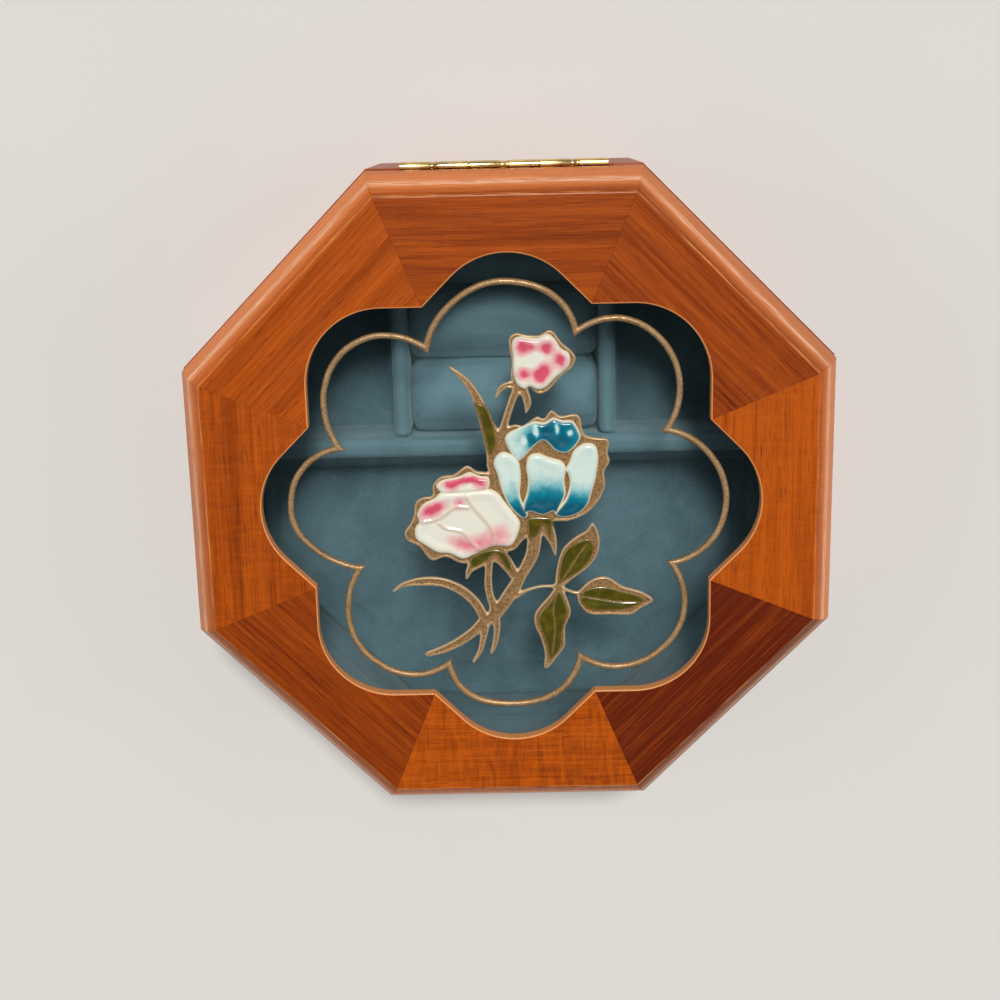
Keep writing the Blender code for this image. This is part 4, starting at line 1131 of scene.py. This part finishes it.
class BOX_OT_gold(bpy.types.Operator):
    """Lay the gold line and the gold spray on the glass"""
    bl_idname = "jewelry_box.gold"
    bl_label = "Gold relief"

    def execute(self, context):
        settings = context.scene.box_relief
        gold = gold_finish()
        finish_piece("gold_line", gold_line(settings), gold, "lid", "gold_border")
        outlines = [smooth_line(points, True, 5) for points in (
            BLUE_GOLD, PINK_GOLD, BUD_GOLD, LEAF_UPPER_GOLD, LEAF_RIGHT_GOLD, LEAF_LOWER_GOLD, SLENDER_GOLD)]
        outlines += [stem_outline(points, widths) for points, widths in STEMS]
        thick = SPRAY_HIGH.z - SPRAY_LOW.z
        plates = [plate([tuple(point) for point in outline], SPRAY_LOW.z, SPRAY_HIGH.z + thick / 2)
                  for outline in outlines]

        def rise(place, distance):
            dip = settings.gold_dip * (1 - fade(distance, settings.gold_rim, 2.2 * settings.gold_rim))
            return thick * rounded(distance, settings.gold_rim) - dip

        def marks(place, distance):
            return {"rim": fade(distance, settings.gold_rim * 0.7, settings.gold_rim * 1.7)}

        mesh = relief_mesh("gold_spray", plates, settings.voxel, SPRAY_LOW.z, rise, marks)
        finish_piece("gold_spray_relief", mesh, gold, "lid", "gold_spray")
        return {"FINISHED"}


def spot_strength(place, spots):
    """Sum of the soft elliptical spots at a place, in millimetres."""
    warp = Vector((noise.noise(place * 700), noise.noise(place * 700 + Vector((5, 5, 5))), 0)) * 0.35
    x, y = place.x / MM + warp.x, place.y / MM + warp.y
    total = 0.0
    for (cx, cy), (rx, ry), turn, strength in spots:
        dx, dy = x - cx, y - cy
        u = (dx * math.cos(turn) + dy * math.sin(turn)) / rx
        v = (dy * math.cos(turn) - dx * math.sin(turn)) / ry
        total += strength * math.exp(-0.8 * (u * u + v * v))
    return min(max(total, 0.0), 1.0)


class BOX_OT_enamel(bpy.types.Operator):
    """Pour the enamel petals and leaves on the gold"""
    bl_idname = "jewelry_box.enamel"
    bl_label = "Enamel petals and leaves"

    def execute(self, context):
        settings = context.scene.box_relief
        finishes = {
            "pink_enamel": petal_finish("pink_enamel", settings.cream, (
                (0.06, 0.48, settings.pale_pink), (0.40, 0.98, settings.pink))),
            "blue_enamel": petal_finish("blue_enamel", settings.frost, (
                (0.12, 0.50, settings.aqua), (0.42, 0.68, settings.sea), (0.66, 0.95, settings.teal))),
            "green_enamel": leaf_finish(),
        }
        base = SPRAY_HIGH.z - settings.gold_dip
        full = ENAMEL_HIGH.z - base
        for node, (slot, outline, spots, veins) in ENAMELS.items():
            trees = [(point_tree(smooth_line(points, False, 24)), width * MM) for points, width in veins]
            green = slot == "green_enamel"
            dome = settings.dome * (0.7 if green else 1.0)
            height = full * (0.55 if green else 1.0)

            def vein(place):
                return max([math.exp(-(tree.find(place)[2] / width) ** 2) for tree, width in trees] or [0.0])

            def rise(place, distance):
                ridge = -0.22 if green else 0.16
                sag = 0.14 * (1 - fade(distance, dome, 2.6 * dome))
                return height * (0.12 + 0.72 * rounded(distance, dome) - sag + ridge * vein(place))

            def marks(place, distance):
                rim = fade(distance, settings.enamel_rim, settings.enamel_rim_end)
                return {"rim": rim, "vein": vein(place), "depth": spot_strength(place, spots)}

            shape = [tuple(point) for point in smooth_line(outline, True, 5)]
            plates = [plate(shape, base, ENAMEL_HIGH.z)]
            mesh = relief_mesh(node, plates, settings.voxel, base, rise, marks)
            finish_piece(f"{node}_enamel", mesh, finishes[slot], "lid", node)
        return {"FINISHED"}


# Hinge

def brass_finish():
    """Polished brass with fine wear."""
    material, tree, shader = new_finish("brass")
    tone = grain(tree, 0.004, detail=3)
    fine = grain(tree, (0.0008, 0.00012, 0.00012), detail=2)
    base = tuple(bpy.context.scene.box_hinge.brass)
    dark = tinted(base, 0.72)
    feed(tree, shader.inputs["Base Color"], blend(tree, between(tree, tone, 0.35, 0.65), dark, base))
    shader.inputs["Metallic"].default_value = 1.0
    feed(tree, shader.inputs["Roughness"], between(tree, tone, 0.3, 0.7, 0.24, 0.38))
    feed(tree, shader.inputs["Normal"], bump(tree, fine, 0.15, 0.00005))
    return material


# The crimp near the end of a lid knuckle: distance from the end, and depth
CRIMP = ((0.0021, 0.0), (0.0017, 0.00022), (0.0010, 0.00024), (0.0006, 0.00004))


def knuckle_spans(settings):
    """Start and end of each knuckle along X; the long ones belong to the lid."""
    total = PIN_HIGH.x - PIN_LOW.x
    short = (total - 3 * settings.long_knuckle - 5 * settings.knuckle_gap) / 3
    spans, start = [], PIN_LOW.x
    for index in range(6):
        size = short if index % 2 else settings.long_knuckle
        spans.append((start, start + size))
        start += size + settings.knuckle_gap
    return spans


def hinge_leaf(owner, spans, settings, crimped):
    """A leaf that lies in the joint, with its knuckles rolled round the pin."""
    side = 1 if owner == "lid" else -1
    low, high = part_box(f"hinge_leaf_{owner}")
    near = AXIS_Z + side * 0.2 * MM
    low_z, high_z = sorted((near, near + side * settings.leaf_thickness))
    radius, bore = settings.knuckle_radius, settings.bore_radius
    edge = AXIS_Y - radius - 0.0003
    bm = bmesh.new()
    bm.from_mesh(slab((low.x, low.y, low_z), (high.x, edge, high_z)))
    ease = 0.00012
    for start, end in spans:
        tab = slab((start, edge - 0.0004, low_z), (end, AXIS_Y - bore - 0.00015, high_z))
        bm.from_mesh(tab)
        section = [(start, bore), (start, radius - ease), (start + ease, radius)]
        if crimped:
            section += [(end - back, radius - deep) for back, deep in CRIMP]
        section += [(end - ease, radius), (end, radius - ease), (end, bore)]
        loop = [bm.verts.new((x, AXIS_Y, AXIS_Z + out)) for x, out in section]
        edges = [bm.edges.new((loop[i], loop[(i + 1) % len(loop)])) for i in range(len(loop))]
        bmesh.ops.spin(bm, geom=loop + edges, cent=(0, AXIS_Y, AXIS_Z), axis=(1, 0, 0), angle=2 * math.pi,
                       steps=28, use_merge=True)
    mesh = mesh_from(bm, f"hinge_{owner}")
    shade(mesh, 30)
    return mesh


class BOX_OT_hinge(bpy.types.Operator):
    """Make the brass hinge at the back"""
    bl_idname = "jewelry_box.hinge"
    bl_label = "Hinge"

    def execute(self, context):
        settings = context.scene.box_hinge
        brass = brass_finish()
        spans = knuckle_spans(settings)
        for owner, own in (("lid", spans[0::2]), ("box", spans[1::2])):
            mesh = hinge_leaf(owner, own, settings, owner == "lid")
            name = f"hinge_leaf_{owner}"
            finish_piece(f"{name}_brass", mesh, brass, owner, name)
        radius = PIN_HIGH.z - AXIS_Z
        place = Matrix.Translation((0, AXIS_Y, AXIS_Z)) @ Matrix.Rotation(math.pi / 2, 4, "Y")
        bm = bmesh.new()
        bmesh.ops.create_cone(bm, cap_ends=True, segments=24, radius1=radius, radius2=radius,
                              depth=PIN_HIGH.x - PIN_LOW.x, matrix=place)
        mesh = mesh_from(bm, "pin")
        shade(mesh)
        finish_piece("hinge_pin_brass", mesh, brass, "box", "hinge_pin")
        return {"FINISHED"}


# Stage

LIGHT_TARGET = Vector((0, 0, 0.03))
KEY_PLACE = Vector((0.08, 0.52, 1.15))
KEY_SPREAD = math.radians(10)
FILL_SIZE = 0.7
FLOOR_HALF = 2.5


def lamp(kind, name, place, power, colour, **settings):
    """A light of this kind at a place, aimed at the box."""
    data = bpy.data.lights.new(name, kind)
    data.energy = power
    data.color = colour
    for key, value in settings.items():
        setattr(data, key, value)
    light = bpy.data.objects.new(name, data)
    way = LIGHT_TARGET - place
    light.matrix_world = Matrix.Translation(place) @ way.to_track_quat("-Z", "Y").to_matrix().to_4x4()
    bpy.context.scene.collection.objects.link(light)


def surroundings(settings):
    """Surroundings that are pale at the horizon and dim overhead."""
    world = bpy.data.worlds.new("surroundings")
    world.use_nodes = True
    tree = world.node_tree
    way = add(tree, "ShaderNodeTexCoord", {})
    up = add(tree, "ShaderNodeSeparateXYZ", {0: way}, output=2)
    share = between(tree, calc(tree, "ABSOLUTE", up), 0.02, 0.42)
    light = blend(tree, share, tuple(settings.horizon), tuple(settings.sky))
    feed(tree, tree.nodes["Background"].inputs["Color"], light)
    return world


def floor_finish(colour):
    """Pale, matt floor."""
    material, tree, shader = new_finish("floor")
    cloud = grain(tree, 0.05, detail=3)
    dark = tinted(colour, 0.97)
    feed(tree, shader.inputs["Base Color"], blend(tree, cloud, dark, tuple(colour)))
    shader.inputs["Roughness"].default_value = 0.9
    return material


class BOX_OT_stage(bpy.types.Operator):
    """Set up the floor, the soft light and the camera"""
    bl_idname = "jewelry_box.stage"
    bl_label = "Floor, light and camera"

    def execute(self, context):
        settings = context.scene.box_stage
        scene = context.scene
        bm = bmesh.new()
        bmesh.ops.create_grid(bm, x_segments=8, y_segments=8, size=FLOOR_HALF)
        floor = link(mesh_from(bm, "floor"), "floor")
        floor.data.materials.append(floor_finish(settings.floor))
        lamp("SUN", "key_light", KEY_PLACE, settings.key_power, (1.0, 0.97, 0.93), angle=KEY_SPREAD)
        for side, out, colour in (("left", -0.95, (0.95, 0.97, 1.0)), ("right", 0.95, (1.0, 0.98, 0.95))):
            lamp("AREA", f"{side}_light", Vector((out, 0.10, 0.75)), settings.fill_power, colour,
                 shape="SQUARE", size=FILL_SIZE)
        scene.world = surroundings(settings)
        scene.view_settings.view_transform = "Standard"
        data = bpy.data.cameras.new("camera")
        data.sensor_width = 36.0
        data.lens = settings.lens
        data.clip_start = 0.01
        camera = bpy.data.objects.new("camera", data)
        camera.location = settings.camera_place
        camera.rotation_euler = settings.camera_turn
        scene.collection.objects.link(camera)
        scene.camera = camera
        return {"FINISHED"}


OPERATORS = (BOX_OT_stage, BOX_OT_boards, BOX_OT_insert, BOX_OT_glass, BOX_OT_gold, BOX_OT_enamel,
             BOX_OT_hinge)


class BOX_PT_panel(bpy.types.Panel):
    """The steps that dress the box, in the sidebar"""
    bl_idname = "BOX_PT_panel"
    bl_label = "Jewelry Box"
    bl_space_type = "VIEW_3D"
    bl_region_type = "UI"
    bl_category = "Jewelry Box"

    def draw(self, context):
        column = self.layout.column()
        for operator in OPERATORS:
            column.operator(operator.bl_idname)


CLASSES = (*SETTINGS.values(), *OPERATORS, BOX_PT_panel)


def register():
    """Register the classes and hang the settings on the scene."""
    for item in CLASSES:
        bpy.utils.register_class(item)
    for name, kind in SETTINGS.items():
        setattr(bpy.types.Scene, name, PointerProperty(type=kind))


def unregister():
    """Take the settings and the classes away again."""
    for name in SETTINGS:
        delattr(bpy.types.Scene, name)
    for item in reversed(CLASSES):
        bpy.utils.unregister_class(item)


def main():
    """Dress the box step by step."""
    register()
    for operator in OPERATORS:
        group, step = operator.bl_idname.split(".")
        getattr(getattr(bpy.ops, group), step)()


if __name__ == "__main__":
    main()
